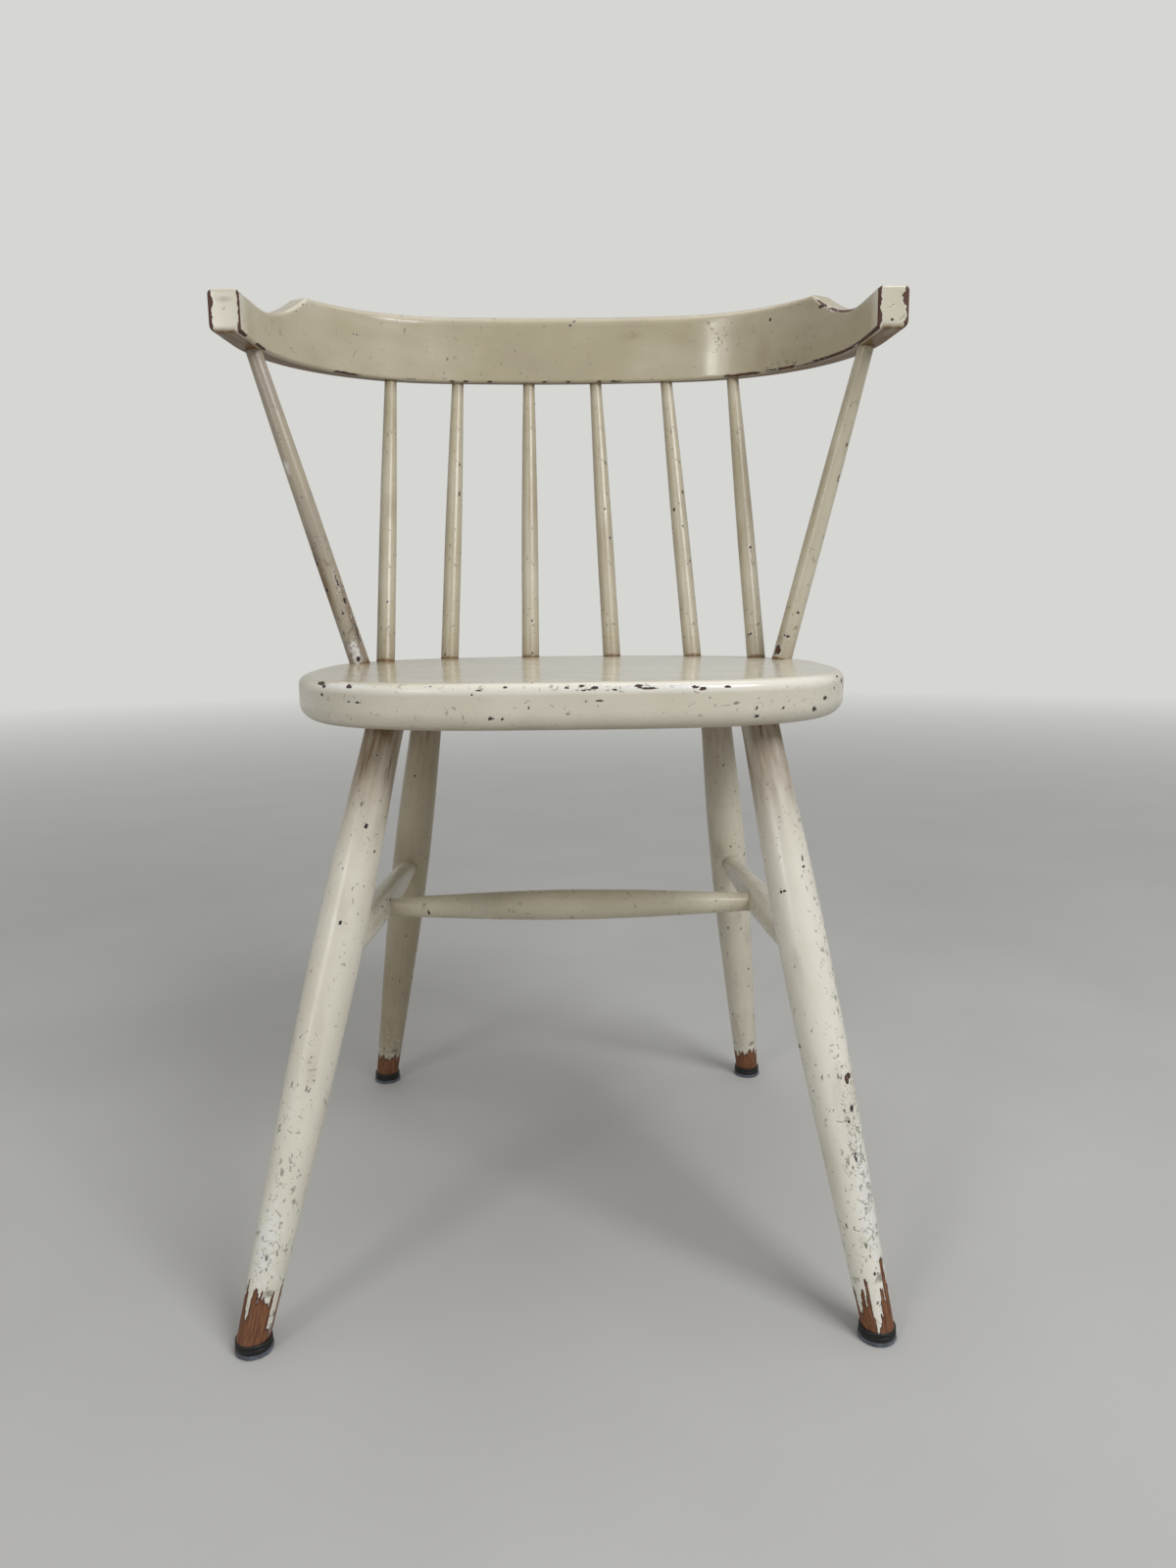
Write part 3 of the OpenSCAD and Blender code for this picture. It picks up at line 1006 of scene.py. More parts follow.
class StickTree:
    """A Geometry Nodes tree that turns a stick between two points."""

    name = "turned_stick"

    def __init__(self) -> None:
        """Builds the tree once."""
        self.tree = bpy.data.node_groups.new(self.name, "GeometryNodeTree")
        self.ids: dict[str, str] = {}
        for label, kind in (
            ("Start", "NodeSocketVector"),
            ("End", "NodeSocketVector"),
            ("Foot Radius", "NodeSocketFloat"),
            ("Belly Radius", "NodeSocketFloat"),
            ("Top Radius", "NodeSocketFloat"),
            ("Belly At", "NodeSocketFloat"),
            ("Plain Share", "NodeSocketFloat"),
            ("Rings", "NodeSocketInt"),
            ("Sides", "NodeSocketInt"),
            ("Unevenness", "NodeSocketFloat"),
            ("Seed", "NodeSocketFloat"),
            ("Paint", "NodeSocketMaterial"),
        ):
            socket = self.tree.interface.new_socket(label, in_out="INPUT", socket_type=kind)
            self.ids[label] = socket.identifier
        self.tree.interface.new_socket("Geometry", in_out="OUTPUT", socket_type="NodeSocketGeometry")
        self._wire()

    def _wire(self) -> None:
        """Links line, radius, skin, hand-made unevenness and paint."""
        tree = self.tree
        given = add_node(tree, "NodeGroupInput").outputs
        line = add_node(
            tree, "GeometryNodeCurvePrimitiveLine", links={"Start": given["Start"], "End": given["End"]}
        )
        path = add_node(
            tree, "GeometryNodeResampleCurve", links={"Curve": line.outputs[0], "Count": given["Rings"]}
        )
        sized = add_node(
            tree,
            "GeometryNodeSetCurveRadius",
            links={"Curve": path.outputs[0], "Radius": self._radius(given)},
        )
        ring = add_node(
            tree, "GeometryNodeCurvePrimitiveCircle", {"[Radius]": 1.0}, {"Resolution": given["Sides"]}
        )
        skin = add_node(
            tree,
            "GeometryNodeCurveToMesh",
            {"[Fill Caps]": True},
            {"Curve": sized.outputs[0], "Profile Curve": ring.outputs[0]},
        )
        scale = next((s for s in skin.inputs if s.name == "Scale"), None)
        if scale is not None:
            radius = add_node(tree, "GeometryNodeInputRadius")
            tree.links.new(radius.outputs[0], scale)
        wave = add_node(
            tree,
            "ShaderNodeTexNoise",
            {"noise_dimensions": "4D", "[Scale]": 38.0, "[Detail]": 1.0},
            {"W": given["Seed"]},
        )
        push = maths(
            tree, "MULTIPLY", maths(tree, "SUBTRACT", wave.outputs["Fac"], 0.5), given["Unevenness"]
        )
        out = add_node(
            tree,
            "ShaderNodeVectorMath",
            {"operation": "SCALE"},
            {0: add_node(tree, "GeometryNodeInputNormal").outputs[0], "Scale": push},
        )
        moved = add_node(
            tree, "GeometryNodeSetPosition", links={"Geometry": skin.outputs[0], "Offset": out.outputs[0]}
        )
        real = add_node(tree, "GeometryNodeRealizeInstances", links={"Geometry": moved.outputs[0]})
        dressed = add_node(
            tree, "GeometryNodeSetMaterial", links={"Geometry": real.outputs[0], "Material": given["Paint"]}
        )
        add_node(tree, "NodeGroupOutput", links={0: dressed.outputs[0]})

    def _radius(self, given: Any) -> NodeSocket:
        """Swells from the foot to the belly by a sine and falls to the top by a cosine.

        Args:
            given: The tree's inputs.

        Returns:
            The radius at each place along the stick.
        """
        tree = self.tree
        place = add_node(tree, "GeometryNodeSplineParameter").outputs["Factor"]
        body = maths(tree, "MULTIPLY_ADD", given["Plain Share"], -2.0, 1.0)
        run = maths(tree, "DIVIDE", maths(tree, "SUBTRACT", place, given["Plain Share"]), body, clamp=True)
        low = maths(tree, "DIVIDE", run, given["Belly At"], clamp=True)
        rest = maths(tree, "SUBTRACT", 1.0, given["Belly At"])
        high = maths(tree, "DIVIDE", maths(tree, "SUBTRACT", run, given["Belly At"]), rest, clamp=True)
        grow = maths(tree, "SINE", maths(tree, "MULTIPLY", low, math.pi / 2))
        fall = maths(tree, "COSINE", maths(tree, "MULTIPLY", high, math.pi / 2))
        lower = maths(tree, "SUBTRACT", given["Belly Radius"], given["Foot Radius"])
        lower = maths(tree, "MULTIPLY_ADD", lower, grow, given["Foot Radius"])
        upper = maths(tree, "SUBTRACT", given["Belly Radius"], given["Top Radius"])
        upper = maths(tree, "MULTIPLY_ADD", upper, fall, given["Top Radius"])
        above = maths(tree, "GREATER_THAN", run, given["Belly At"])
        mix = add_node(tree, "ShaderNodeMix", {"data_type": "FLOAT"})
        for name, socket in (("Factor_Float", above), ("A_Float", lower), ("B_Float", upper)):
            tree.links.new(socket, next(s for s in mix.inputs if s.identifier == name))
        return next(s for s in mix.outputs if s.identifier == "Result_Float")

    def turn(
        self, name: str, axis: Axis, sizes: StickSizes, paint: Material, seed: int
    ) -> Mesh:
        """Turns one stick and returns it as a plain mesh.

        Args:
            name: The mesh's name.
            axis: Its axis.
            sizes: Its sizes.
            paint: Its finish.
            seed: Picks its unevenness.

        Returns:
            The mesh, in metres.
        """
        holder = bpy.data.objects.new(f"{name}_blank", bpy.data.meshes.new(f"{name}_blank"))
        bpy.context.scene.collection.objects.link(holder)
        modifier = holder.modifiers.new("turning", "NODES")
        modifier.node_group = self.tree
        for label, value in (
            ("Start", tuple(axis.start * MM)),
            ("End", tuple(axis.end * MM)),
            ("Foot Radius", sizes.foot_d / 2 * MM),
            ("Belly Radius", sizes.belly_d / 2 * MM),
            ("Top Radius", sizes.top_d / 2 * MM),
            ("Belly At", sizes.belly_at),
            ("Plain Share", sizes.plain / axis.length),
            ("Rings", sizes.rings),
            ("Sides", sizes.sides),
            ("Unevenness", sizes.unevenness * MM),
            ("Seed", float(seed)),
            ("Paint", paint),
        ):
            modifier[self.ids[label]] = value
        seen = holder.evaluated_get(bpy.context.evaluated_depsgraph_get())
        mesh = bpy.data.meshes.new_from_object(seen)
        mesh.name = name
        holder.modifiers.clear()
        bpy.data.objects.remove(holder)
        mesh.polygons.foreach_set("use_smooth", [len(f.vertices) < 5 for f in mesh.polygons])
        return mesh


@dataclass
class TurnedPiece:
    """A turned and painted piece between two joints.

    Attributes:
        node: The frame node that it replaces.
        seed: Picks its wear.
        knocks: Its own worn places.
        flaked: Share of it that has small flakes off.
        specks: Share of the places that hold a dark knock.
        tone: 0 is greyed paint, 0.3 yellowed, AGED plain and 1 fresh.
    """

    node: str
    seed: int
    knocks: tuple[Knock, ...] = ()
    flaked: float = 0.003
    specks: float = 0.02
    tone: float = AGED

    def wear_fields(self, grain: np.ndarray, radius: float) -> dict[str, np.ndarray]:
        """Wears the paint all over and at the piece's own marks.

        Args:
            grain: Every vertex's place, in millimetres.
            radius: The piece's radius, for the marks.

        Returns:
            The fields of wear.
        """
        fields = blank_fields(len(grain))
        drawn = grain * np.array([0.3, 1.0, 1.0])
        fields["tone"] = self.tone + (value_noise(drawn, 24.0, self.seed) - 0.5) * 0.28
        fields["bare"] = flakes(grain, 6.5, self.flaked, self.seed + 1)
        fields["speck"] = self.specks * rise(value_noise(grain, 25.0, self.seed + 2, 2), 0.4, 0.8) * 4
        fields["grime_and_shade"] = 0.22 * rise(value_noise(drawn, 14.0, self.seed + 3), 0.52, 0.8)
        for knock in self.knocks:
            knock.mark(radius).lay(fields, grain)
        return fields


@dataclass
class Stick(TurnedPiece):
    """A spindle or stretcher, whose ends go into sockets.

    Attributes:
        sizes: Its diameters.
        hidden: Lengths at its two ends that sit inside their sockets.
        trim: Lengths that are left off inside the sockets.
        lines: Whether a dark crack shows where each end meets its socket.
    """

    sizes: StickSizes = StickSizes(17.5, 17.0, 12.0, 0.25, 13.0)
    hidden: tuple[float, float] = (20.0, 15.0)
    trim: tuple[float, float] = (15.0, 10.0)
    lines: bool = True

    def build(self, turner: StickTree, paint: Material) -> Object:
        """Turns, wears and paints the stick.

        Args:
            turner: The tree that turns sticks.
            paint: Its finish.

        Returns:
            The piece.
        """
        full = Axis.of_node(self.node)
        axis = Axis(full.start + full.along * self.trim[0], full.end - full.along * self.trim[1])
        mesh = turner.turn(f"{self.node}_turned", axis, self.sizes, paint, self.seed)
        grain = axis.grain(mesh_points(mesh))
        shown = (self.hidden[0] - self.trim[0], axis.length - (self.hidden[1] - self.trim[1]))
        grain[:, 0] -= shown[0]
        fields = self.wear_fields(grain, self.sizes.belly_d / 2)
        if self.lines:
            top = shown[1] - shown[0]
            at = grain[:, 0]
            crack = np.maximum(rise(at, 1.3, 0.1), rise(at, top - 1.3, top - 0.1))
            near = np.maximum(rise(at, 26.0, 0.0), rise(at, top - 22.0, top))
            fields["grime_and_shade"] = np.maximum(fields["grime_and_shade"], 1.1 * crack)
            fields["grime_and_shade"] = np.maximum(fields["grime_and_shade"], 0.3 * near)
        write_fields(mesh, grain, fields)
        return place_piece(f"{self.node}_painted", mesh, paint, self.node)


@dataclass(frozen=True)
class Tongue:
    """A tongue of paint left on, or a strip worn off, at a leg's foot.

    Attributes:
        angle: Its middle round the leg.
        half: Half its width, in degrees.
        down_to: Height at which the bare wood starts there.
    """

    angle: float
    half: float
    down_to: float


@dataclass
class Leg(TurnedPiece):
    """A swelled leg, cut level at the floor and bare at its foot.

    Attributes:
        foot_d: Diameter at the floor.
        belly_d: Largest diameter.
        top_d: Diameter in the seat.
        belly_at: Where the belly is, as a share of the length.
        neck: Plain length under the seat.
        socket: Length inside the seat.
        kept: Part of that length that is made.
        bare_to: Height up to which the foot is bare.
        jagged: How ragged the edge of the paint is.
        tongues: Places where that edge is lower or higher.
        rings: Rings of vertices along the leg.
        sides: Vertices in each ring.
    """

    foot_d: float = 22.5
    belly_d: float = 35.5
    top_d: float = 28.0
    belly_at: float = 0.62
    neck: float = 8.0
    socket: float = 20.0
    kept: float = 5.0
    bare_to: float = 26.0
    jagged: float = 9.0
    tongues: tuple[Tongue, ...] = ()
    rings: int = 330
    sides: int = 84
    soil_and_shade_top: float = 0.5

    def axis(self) -> Axis:
        """Finds the leg's axis, from the floor cut to its end in the seat."""
        points = mesh_points(bpy.data.objects[self.node].data)
        base = points[points[:, 2] < points[:, 2].min() + 0.02]
        foot = (base.min(axis=0) + base.max(axis=0)) / 2
        line = np.array([0.0, 0.0, 1.0])
        for _ in range(4):
            far = (points - foot) @ line
            top = points[far > far.max() - 0.5]
            reach = top.mean(axis=0) - foot
            line = reach / np.linalg.norm(reach)
        return Axis(foot, foot + line * ((points - foot) @ line).max())

    def radius_at(self, share: np.ndarray) -> np.ndarray:
        """Gives the leg's radius at shares of its length below the neck.

        Args:
            share: Numbers from 0 at the floor to 1.

        Returns:
            Radii in millimetres.
        """
        share = np.clip(share, 0.0, 1.0)
        low = np.clip(share / self.belly_at, 0.0, 1.0)
        high = np.clip((share - self.belly_at) / (1 - self.belly_at), 0.0, 1.0)
        lower = self.foot_d + (self.belly_d - self.foot_d) * np.sin(np.pi / 2 * low) ** 1.2
        falling = np.clip(np.cos(np.pi / 2 * high), 0.0, 1.0) ** 1.4
        upper = self.top_d + (self.belly_d - self.top_d) * falling
        return np.where(share < self.belly_at, lower, upper) / 2

    def build(self, paint: Material) -> Object:
        """Shapes, wears and paints the leg.

        Args:
            paint: Its finish.

        Returns:
            The piece.
        """
        axis = self.axis()
        shown = axis.length - self.socket
        end = shown + self.kept
        turn = np.arange(self.sides) * 2 * np.pi / self.sides
        round_it = np.outer(np.sin(turn), axis.sideways) + np.outer(np.cos(turn), axis.forwards)
        cut = -self.foot_d / 2 * round_it[:, 2] / axis.along[2]
        rows = np.linspace(0.0, 1.0, self.rings)[:, None] ** 1.4
        along = cut[None, :] + (end - cut[None, :]) * rows
        radius = self.radius_at(along / (shown - self.neck))
        rings = axis.start + along[..., None] * axis.along + radius[..., None] * round_it
        flat = rings.reshape(-1, 3)
        uneven = (value_noise(flat * np.array([1, 1, 0.3]), 26.0, self.seed + 9, 2) - 0.5) * 0.35
        outwards = np.broadcast_to(round_it, rings.shape).reshape(-1, 3)
        inside = rise(along.ravel(), 0.5, 6.0)
        flat = flat + outwards * (uneven * inside)[:, None]
        mesh = skin_mesh(f"{self.node}_turned", flat.reshape(rings.shape))
        grain = axis.grain(mesh_points(mesh))
        fields = self.wear_fields(grain, self.belly_d / 2 - 1)
        self._wear_foot(fields, grain)
        # Darker band under the seat: brown dirt, and painted shade from the seat above; the split streaks are
        # real dark cracks.
        shade_and_soil = rise(grain[:, 0], shown - 120, shown - 8)
        shade_and_soil = shade_and_soil * (0.55 + 0.9 * value_noise(grain * np.array([0.3, 1, 1]), 9.0, self.seed + 6))
        split = value_noise(grain * np.array([0.05, 1, 1]), 2.6, self.seed + 12, 2)
        split = rise(split, 0.68, 0.76) * rise(grain[:, 0], shown - 60, shown - 30)
        fields["grime_and_shade"] = np.maximum(fields["grime_and_shade"], 1.3 * self.soil_and_shade_top * split)
        fields["grime_and_shade"] = np.maximum(fields["grime_and_shade"], self.soil_and_shade_top * shade_and_soil)
        fields["grime_and_shade"] = np.maximum(fields["grime_and_shade"], 1.5 * rise(grain[:, 0], shown - 1.8, shown - 0.6))
        write_fields(mesh, grain, fields)
        return place_piece(f"{self.node}_painted", mesh, paint, self.node)

    def _wear_foot(self, fields: dict[str, np.ndarray], grain: np.ndarray) -> None:
        """Strips the paint off the foot up to a jagged edge that follows the grain.

        Args:
            fields: The leg's fields of wear.
            grain: Every vertex's place, in millimetres.
        """
        angle = np.degrees(np.arctan2(grain[:, 1], grain[:, 2]))
        ring = np.stack([np.zeros(len(grain)), np.sin(np.radians(angle)), np.cos(np.radians(angle))], axis=1)
        radius = self.foot_d / 2
        peaks = 0.6 * (value_noise(ring * radius, 6.5, self.seed + 4, 2) - 0.5)
        peaks = peaks + 1.1 * (value_noise(ring * radius, 1.7, self.seed + 8, 1) - 0.5)
        streak = value_noise(grain * np.array([0.10, 1.0, 1.0]), 1.3, self.seed + 7, 2) - 0.5
        limit = self.bare_to + peaks * 1.5 * self.jagged + streak * 2.4 * self.jagged
        for tongue in self.tongues:
            away = np.abs((angle - tongue.angle + 180) % 360 - 180)
            share = rise(away, tongue.half + 3, tongue.half - 2)
            ragged_end = tongue.down_to + peaks * self.jagged + streak * 1.6 * self.jagged
            limit = limit * (1 - share) + ragged_end * share
        height = grain[:, 0]
        fields["bare"] = np.maximum(fields["bare"], 1.5 * rise(limit - height, -0.9, 1.3))
        near = rise(height, self.bare_to + 70, self.bare_to)
        fields["speck"] = np.maximum(fields["speck"], 0.28 * near)
        fields["pale"] = np.maximum(fields["pale"], 0.3 * near)


# ---------------------------------------------------------------- seat


@dataclass
class SeatBoard:
    """The seat: a board sawn to a rounded square, its edge rounded and its top worn glossy.

    Attributes:
        node: The frame node that it replaces.
        front_n: Squareness of the front half.
        back_n: Squareness of the back half.
        wide_at: Distance from the back edge to the widest place.
        top_r: Rounding of the top edge.
        bottom_r: Rounding of the bottom edge.
        around: Vertices round the edge.
        marks: Its own worn places, from the middle of its width, in Y, and below its top.
        seed: Picks its wear.
    """

    node: str = "seat"
    front_n: float = 3.3
    back_n: float = 2.3
    wide_at: float = 160.0
    top_r: float = 7.0
    bottom_r: float = 13.0
    around: int = 760
    marks: tuple[Mark, ...] = ()
    seed: int = 300

    def _outline(self, angle: np.ndarray, inset: float) -> np.ndarray:
        """Gives points round the seat, inset from its edge.

        Args:
            angle: Where they are, in radians.
            inset: How far inside the edge.

        Returns:
            X and Y, one row a point.
        """
        low, high = (np.array(c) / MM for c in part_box(self.node))
        half = (high[0] - low[0]) / 2 - inset
        wide_y = high[1] - self.wide_at
        back = np.sin(angle) >= 0
        power = np.where(back, self.back_n, self.front_n)
        deep = np.where(back, self.wide_at, wide_y - low[1]) - inset
        x = np.sign(np.cos(angle)) * np.abs(np.cos(angle)) ** (2 / power) * half
        y = np.sign(np.sin(angle)) * np.abs(np.sin(angle)) ** (2 / power) * deep
        return np.stack([(low[0] + high[0]) / 2 + x, wide_y + y], axis=1)

    def front_edge(self, x: float) -> float:
        """Gives the Y of the front edge at a distance from the middle of its width."""
        low, high = (np.array(c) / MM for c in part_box(self.node))
        wide_y = high[1] - self.wide_at
        share = 1 - (abs(x) / ((high[0] - low[0]) / 2)) ** self.front_n
        return float(wide_y - (wide_y - low[1]) * max(share, 0.0) ** (1 / self.front_n))

    def _even_angles(self) -> np.ndarray:
        """Finds angles whose points are evenly spaced round the edge.

        Returns:
            Angles in radians.
        """
        fine = np.linspace(0, 2 * np.pi, 40001)
        points = self._outline(fine, 0.0)
        run = np.concatenate([[0], np.cumsum(np.linalg.norm(np.diff(points, axis=0), axis=1))])
        return np.interp(np.linspace(0, run[-1], self.around, endpoint=False), run, fine)

    def build(self, paint: Material) -> Object:
        """Shapes, wears and paints the seat.

        Args:
            paint: Its finish.

        Returns:
            The piece.
        """
        low, high = (np.array(c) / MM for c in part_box(self.node))
        angle = self._even_angles()
        middle = np.array([(low[0] + high[0]) / 2, high[1] - self.wide_at])
        top, under = high[2], low[2]
        stations: list[tuple[float, float, float]] = []
        for share in np.linspace(0.02, 1.0, 16, endpoint=False) ** 0.6:
            stations.append((self.bottom_r, under, float(share)))
        for a in np.linspace(0, np.pi / 2, 12):
            inset = self.bottom_r * (1 - math.sin(a))
            stations.append((inset, under + self.bottom_r * (1 - math.cos(a)), 1.0))
        for z in np.linspace(under + self.bottom_r, top - self.top_r, 13)[1:-1]:
            stations.append((0.0, float(z), 1.0))
        for a in np.linspace(np.pi / 2, 0, 11):
            inset = self.top_r * (1 - math.sin(a))
            stations.append((inset, top - self.top_r * (1 - math.cos(a)), 1.0))
        for share in 1 - np.linspace(0.0, 0.985, 44)[1:] ** 1.7:
            stations.append((self.top_r, top, float(share)))
        rings = np.zeros((len(stations), self.around, 3))
        for row, (inset, z, share) in enumerate(stations):
            rings[row, :, :2] = middle + (self._outline(angle, inset) - middle) * share
            rings[row, :, 2] = z
        flat = rings.reshape(-1, 3)
        uneven = (value_noise(flat, 85.0, self.seed, 2) - 0.5) * 0.26
        rim = rise(np.abs(flat[:, 2] - (top + under) / 2), 8.0, 17.0)
        flat[:, 2] += uneven * rim * np.sign(flat[:, 2] - (top + under) / 2) - 0.14 * rim * np.sign(
            flat[:, 2] - (top + under) / 2
        )
        mesh = skin_mesh(f"{self.node}_sawn", flat.reshape(rings.shape))
        grain = mesh_points(mesh) - np.array([middle[0], 0.0, top])
        write_fields(mesh, grain, self._wear(grain, top - under))
        return place_piece(f"{self.node}_painted", mesh, paint, self.node)

    def _wear(self, grain: np.ndarray, thick: float) -> dict[str, np.ndarray]:
        """Wears the seat's front edge, rim, top and underside, and paints a darker reflection on
        the top's left and a highlight along its front top edge.

        Args:
            grain: Every vertex's place from the middle of the top's width.
            thick: The board's thickness.

        Returns:
            The fields of wear.
        """
        x, y, below = grain[:, 0], grain[:, 1], -grain[:, 2]
        fields = blank_fields(len(grain))
        fields["tone"] = 0.68 + (value_noise(grain * np.array([0.4, 1, 1]), 60.0, self.seed + 1) - 0.5) * 0.24
        # Painted reflection: the top is darker to the left, standing in for the dimmer surroundings that its
        # gloss reflects on that side.
        fields["tone"] -= 0.34 * rise(x, 60.0, -200.0) * rise(below, 6.0, 1.0)
        fields["gloss"] = rise(below, 6.0, 1.0)
        front = rise(y, -95.0, -150.0)
        # Painted highlight along the rounding of the front top edge: the tone lifts the paint to its fresh
        # colour and the pale field whitens it in patches.
        edge = rise(np.abs(below - 4.5), 5.0, 1.0) * front
        fields["tone"] += 0.42 * edge
        fields["pale"] = edge * (0.12 + 0.2 * rise(value_noise(grain, 34.0, self.seed + 2), 0.4, 0.65))
        thin = grain * np.array([0.35, 0.6, 1.3])
        chips = flakes(thin, 4.5, 0.008, self.seed + 3) * edge
        fields["bare"] = np.where(edge > 0.3, chips, flakes(grain, 3.6, 0.0004, self.seed + 4) * 0.9)
        face = rise(below, 6.0, 12.0) * rise(below, thick, thick - 8.0)
        cluster = rise(value_noise(grain, 25.0, self.seed + 7, 2), 0.45, 0.8)
        fields["speck"] = 0.002 + 0.03 * edge + (0.003 + 0.05 * cluster) * face * front
        fields["grime_and_shade"] = 0.12 * rise(value_noise(grain, 45.0, self.seed + 5), 0.5, 0.8) * rise(below, 1, 8)
        under = rise(below, thick - 6.0, thick)
        fields["grime_and_shade"] += under * (0.25 + 0.4 * value_noise(grain, 50.0, self.seed + 6))
        for mark in self.marks:
            mark.lay(fields, grain)
        return fields


# ---------------------------------------------------------------- crest rail


@dataclass
class CrestRail:
    """The bent crest rail: a long curve behind, two bends, and arms that drop at a shoulder.

    Its grain coordinates are the distance along its front face from the middle, the depth
    behind that face and the height above its underside.

    Attributes:
        node: The frame node that it replaces.
        back_r: Radius of its back.
        bend_r: Radius of its bends.
        turn: Degrees that each half turns.
        inner_x: Half the distance between the arms' inner faces at the end of the bends.
        arm_len: Straight length of each arm.
        height: Height at the middle.
        crown: How much lower it is at the shoulder.
        arm_h: Height of the arms.
        mid_t: Thickness at the middle.
        arm_t: Thickness of the arms.
        shoulder_s: Where the shoulder starts.
        shoulder_r: Radius of its drop.
        end_r: Rounding of the end faces.
        sections: Sections along the rail.
        seed: Picks its wear.
        marks: Its own worn places.
    """

    node: str = "crest_rail"
    back_r: float = 900.0
    bend_r: float = 165.0
    turn: float = 88.0
    inner_x: float = 262.0
    arm_len: float = 50.0
    height: float = 64.5
    crown: float = 2.5
    arm_h: float = 34.5
    mid_t: float = 22.5
    arm_t: float = 26.5
    shoulder_s: float = 264.0
    shoulder_r: float = 112.0
    end_r: float = 2.0
    top_r: tuple[float, float] = (9.5, 4.0)
    heel_r: tuple[float, float] = (13.0, 7.0)
    front_r: float = 2.5
    sections: int = 590
    seed: int = 400
    marks: tuple[Mark, ...] = ()

    @property
    def back_angle(self) -> float:
        """Radians that the back turns on each side."""
        reach = self.inner_x - self.bend_r * math.sin(math.radians(self.turn))
        return math.asin(reach / (self.back_r - self.bend_r))

    @property
    def back_len(self) -> float:
        """Length of the back on each side."""
        return self.back_r * self.back_angle

    @property
    def length(self) -> float:
        """Length of the front face on each side."""
        bend = self.bend_r * (math.radians(self.turn) - self.back_angle)
        return self.back_len + bend + self.arm_len

    def _front(self, s: np.ndarray) -> tuple[np.ndarray, np.ndarray, np.ndarray]:
        """Follows the front face of the right half.

        Args:
            s: Distances from the middle.

        Returns:
            X and Y from the face's middle, and the angle that it has turned.
        """
        total = math.radians(self.turn)
        bend_len = self.bend_r * (total - self.back_angle)
        a = np.minimum(s, self.back_len) / self.back_r
        x = self.back_r * np.sin(a)
        y = -self.back_r * (1 - np.cos(a))
        b = self.back_angle + np.clip(s - self.back_len, 0, bend_len) / self.bend_r
        x = x + self.bend_r * (np.sin(b) - math.sin(self.back_angle))
        y = y - self.bend_r * (math.cos(self.back_angle) - np.cos(b))
        run = np.maximum(s - self.back_len - bend_len, 0)
        angle = np.where(s <= self.back_len, a, b)
        return x + run * math.cos(total), y - run * math.sin(total), angle

    def _arm_share(self, s: float) -> float:
        """Goes from 0 on the back to 1 on an arm."""
        return float(rise(np.array(s), 0.2 * self.length, 0.85 * self.length))

    def _top(self, s: float) -> float:
        """Gives the rail's height at a distance from the middle."""
        drop = self.height - self.crown - self.arm_h
        width = math.sqrt(self.shoulder_r**2 - (self.shoulder_r - drop) ** 2)
        run = self.shoulder_s + width - s
        if s <= self.shoulder_s:
            return self.height - self.crown * (s / self.shoulder_s) ** 2
        if run <= 0:
            return self.arm_h
        return self.arm_h + self.shoulder_r - math.sqrt(self.shoulder_r**2 - run * run)

    def _section(self, s: float, cut: float) -> np.ndarray:
        """Draws the rail's section.

        Args:
            s: Distance from the middle.
            cut: How far the outline is inset.

        Returns:
            Depth and height, one row a point, in the same number for every section.
        """
        share = self._arm_share(s)
        thick = self.mid_t + (self.arm_t - self.mid_t) * share
        high = self._top(s)
        top = min(self.top_r[0] * (1 - share) + self.top_r[1] * share, thick / 2 - 0.5)
        heel = self.heel_r[0] * (1 - share) + self.heel_r[1] * share
        heel = min(heel, thick - self.front_r - 1)
        corners = (
            (thick - heel, heel, heel, 0.0, 13),
            (self.front_r, self.front_r, self.front_r, -90.0, 7),
            (top, high - top, top, 180.0, 11),
            (thick - top, high - top, top, 90.0, 11),
        )
        straights = (8, 32, 8, 26)
        arcs = []
        for depth, height, radius, start, count in corners:
            a = np.radians(start - np.linspace(0, 90, count))
            arcs.append(
                np.stack(
                    [depth + (radius - cut) * np.cos(a), height + (radius - cut) * np.sin(a)], axis=1
                )
            )
        points = []
        for i, arc in enumerate(arcs):
            after = arcs[(i + 1) % 4][0]
            steps = np.linspace(0, 1, straights[i] + 1)[1:-1, None]
            points += [arc, arc[-1] + (after - arc[-1]) * steps]
        return np.vstack(points)

    def _stations(self) -> list[tuple[float, float, float]]:
        """Lists distance, inset and share of the section for the right half, middle outwards."""
        half = self.sections // 2
        made = [(float(s), 0.0, 1.0) for s in np.linspace(0, self.length - self.end_r, half)]
        for a in np.linspace(0, np.pi / 2, 6)[1:]:
            made.append((self.length - self.end_r * (1 - math.sin(a)), self.end_r * (1 - math.cos(a)), 1.0))
        made += [(self.length, self.end_r, float(k)) for k in np.linspace(1, 0.05, 14)[1:]]
        return made

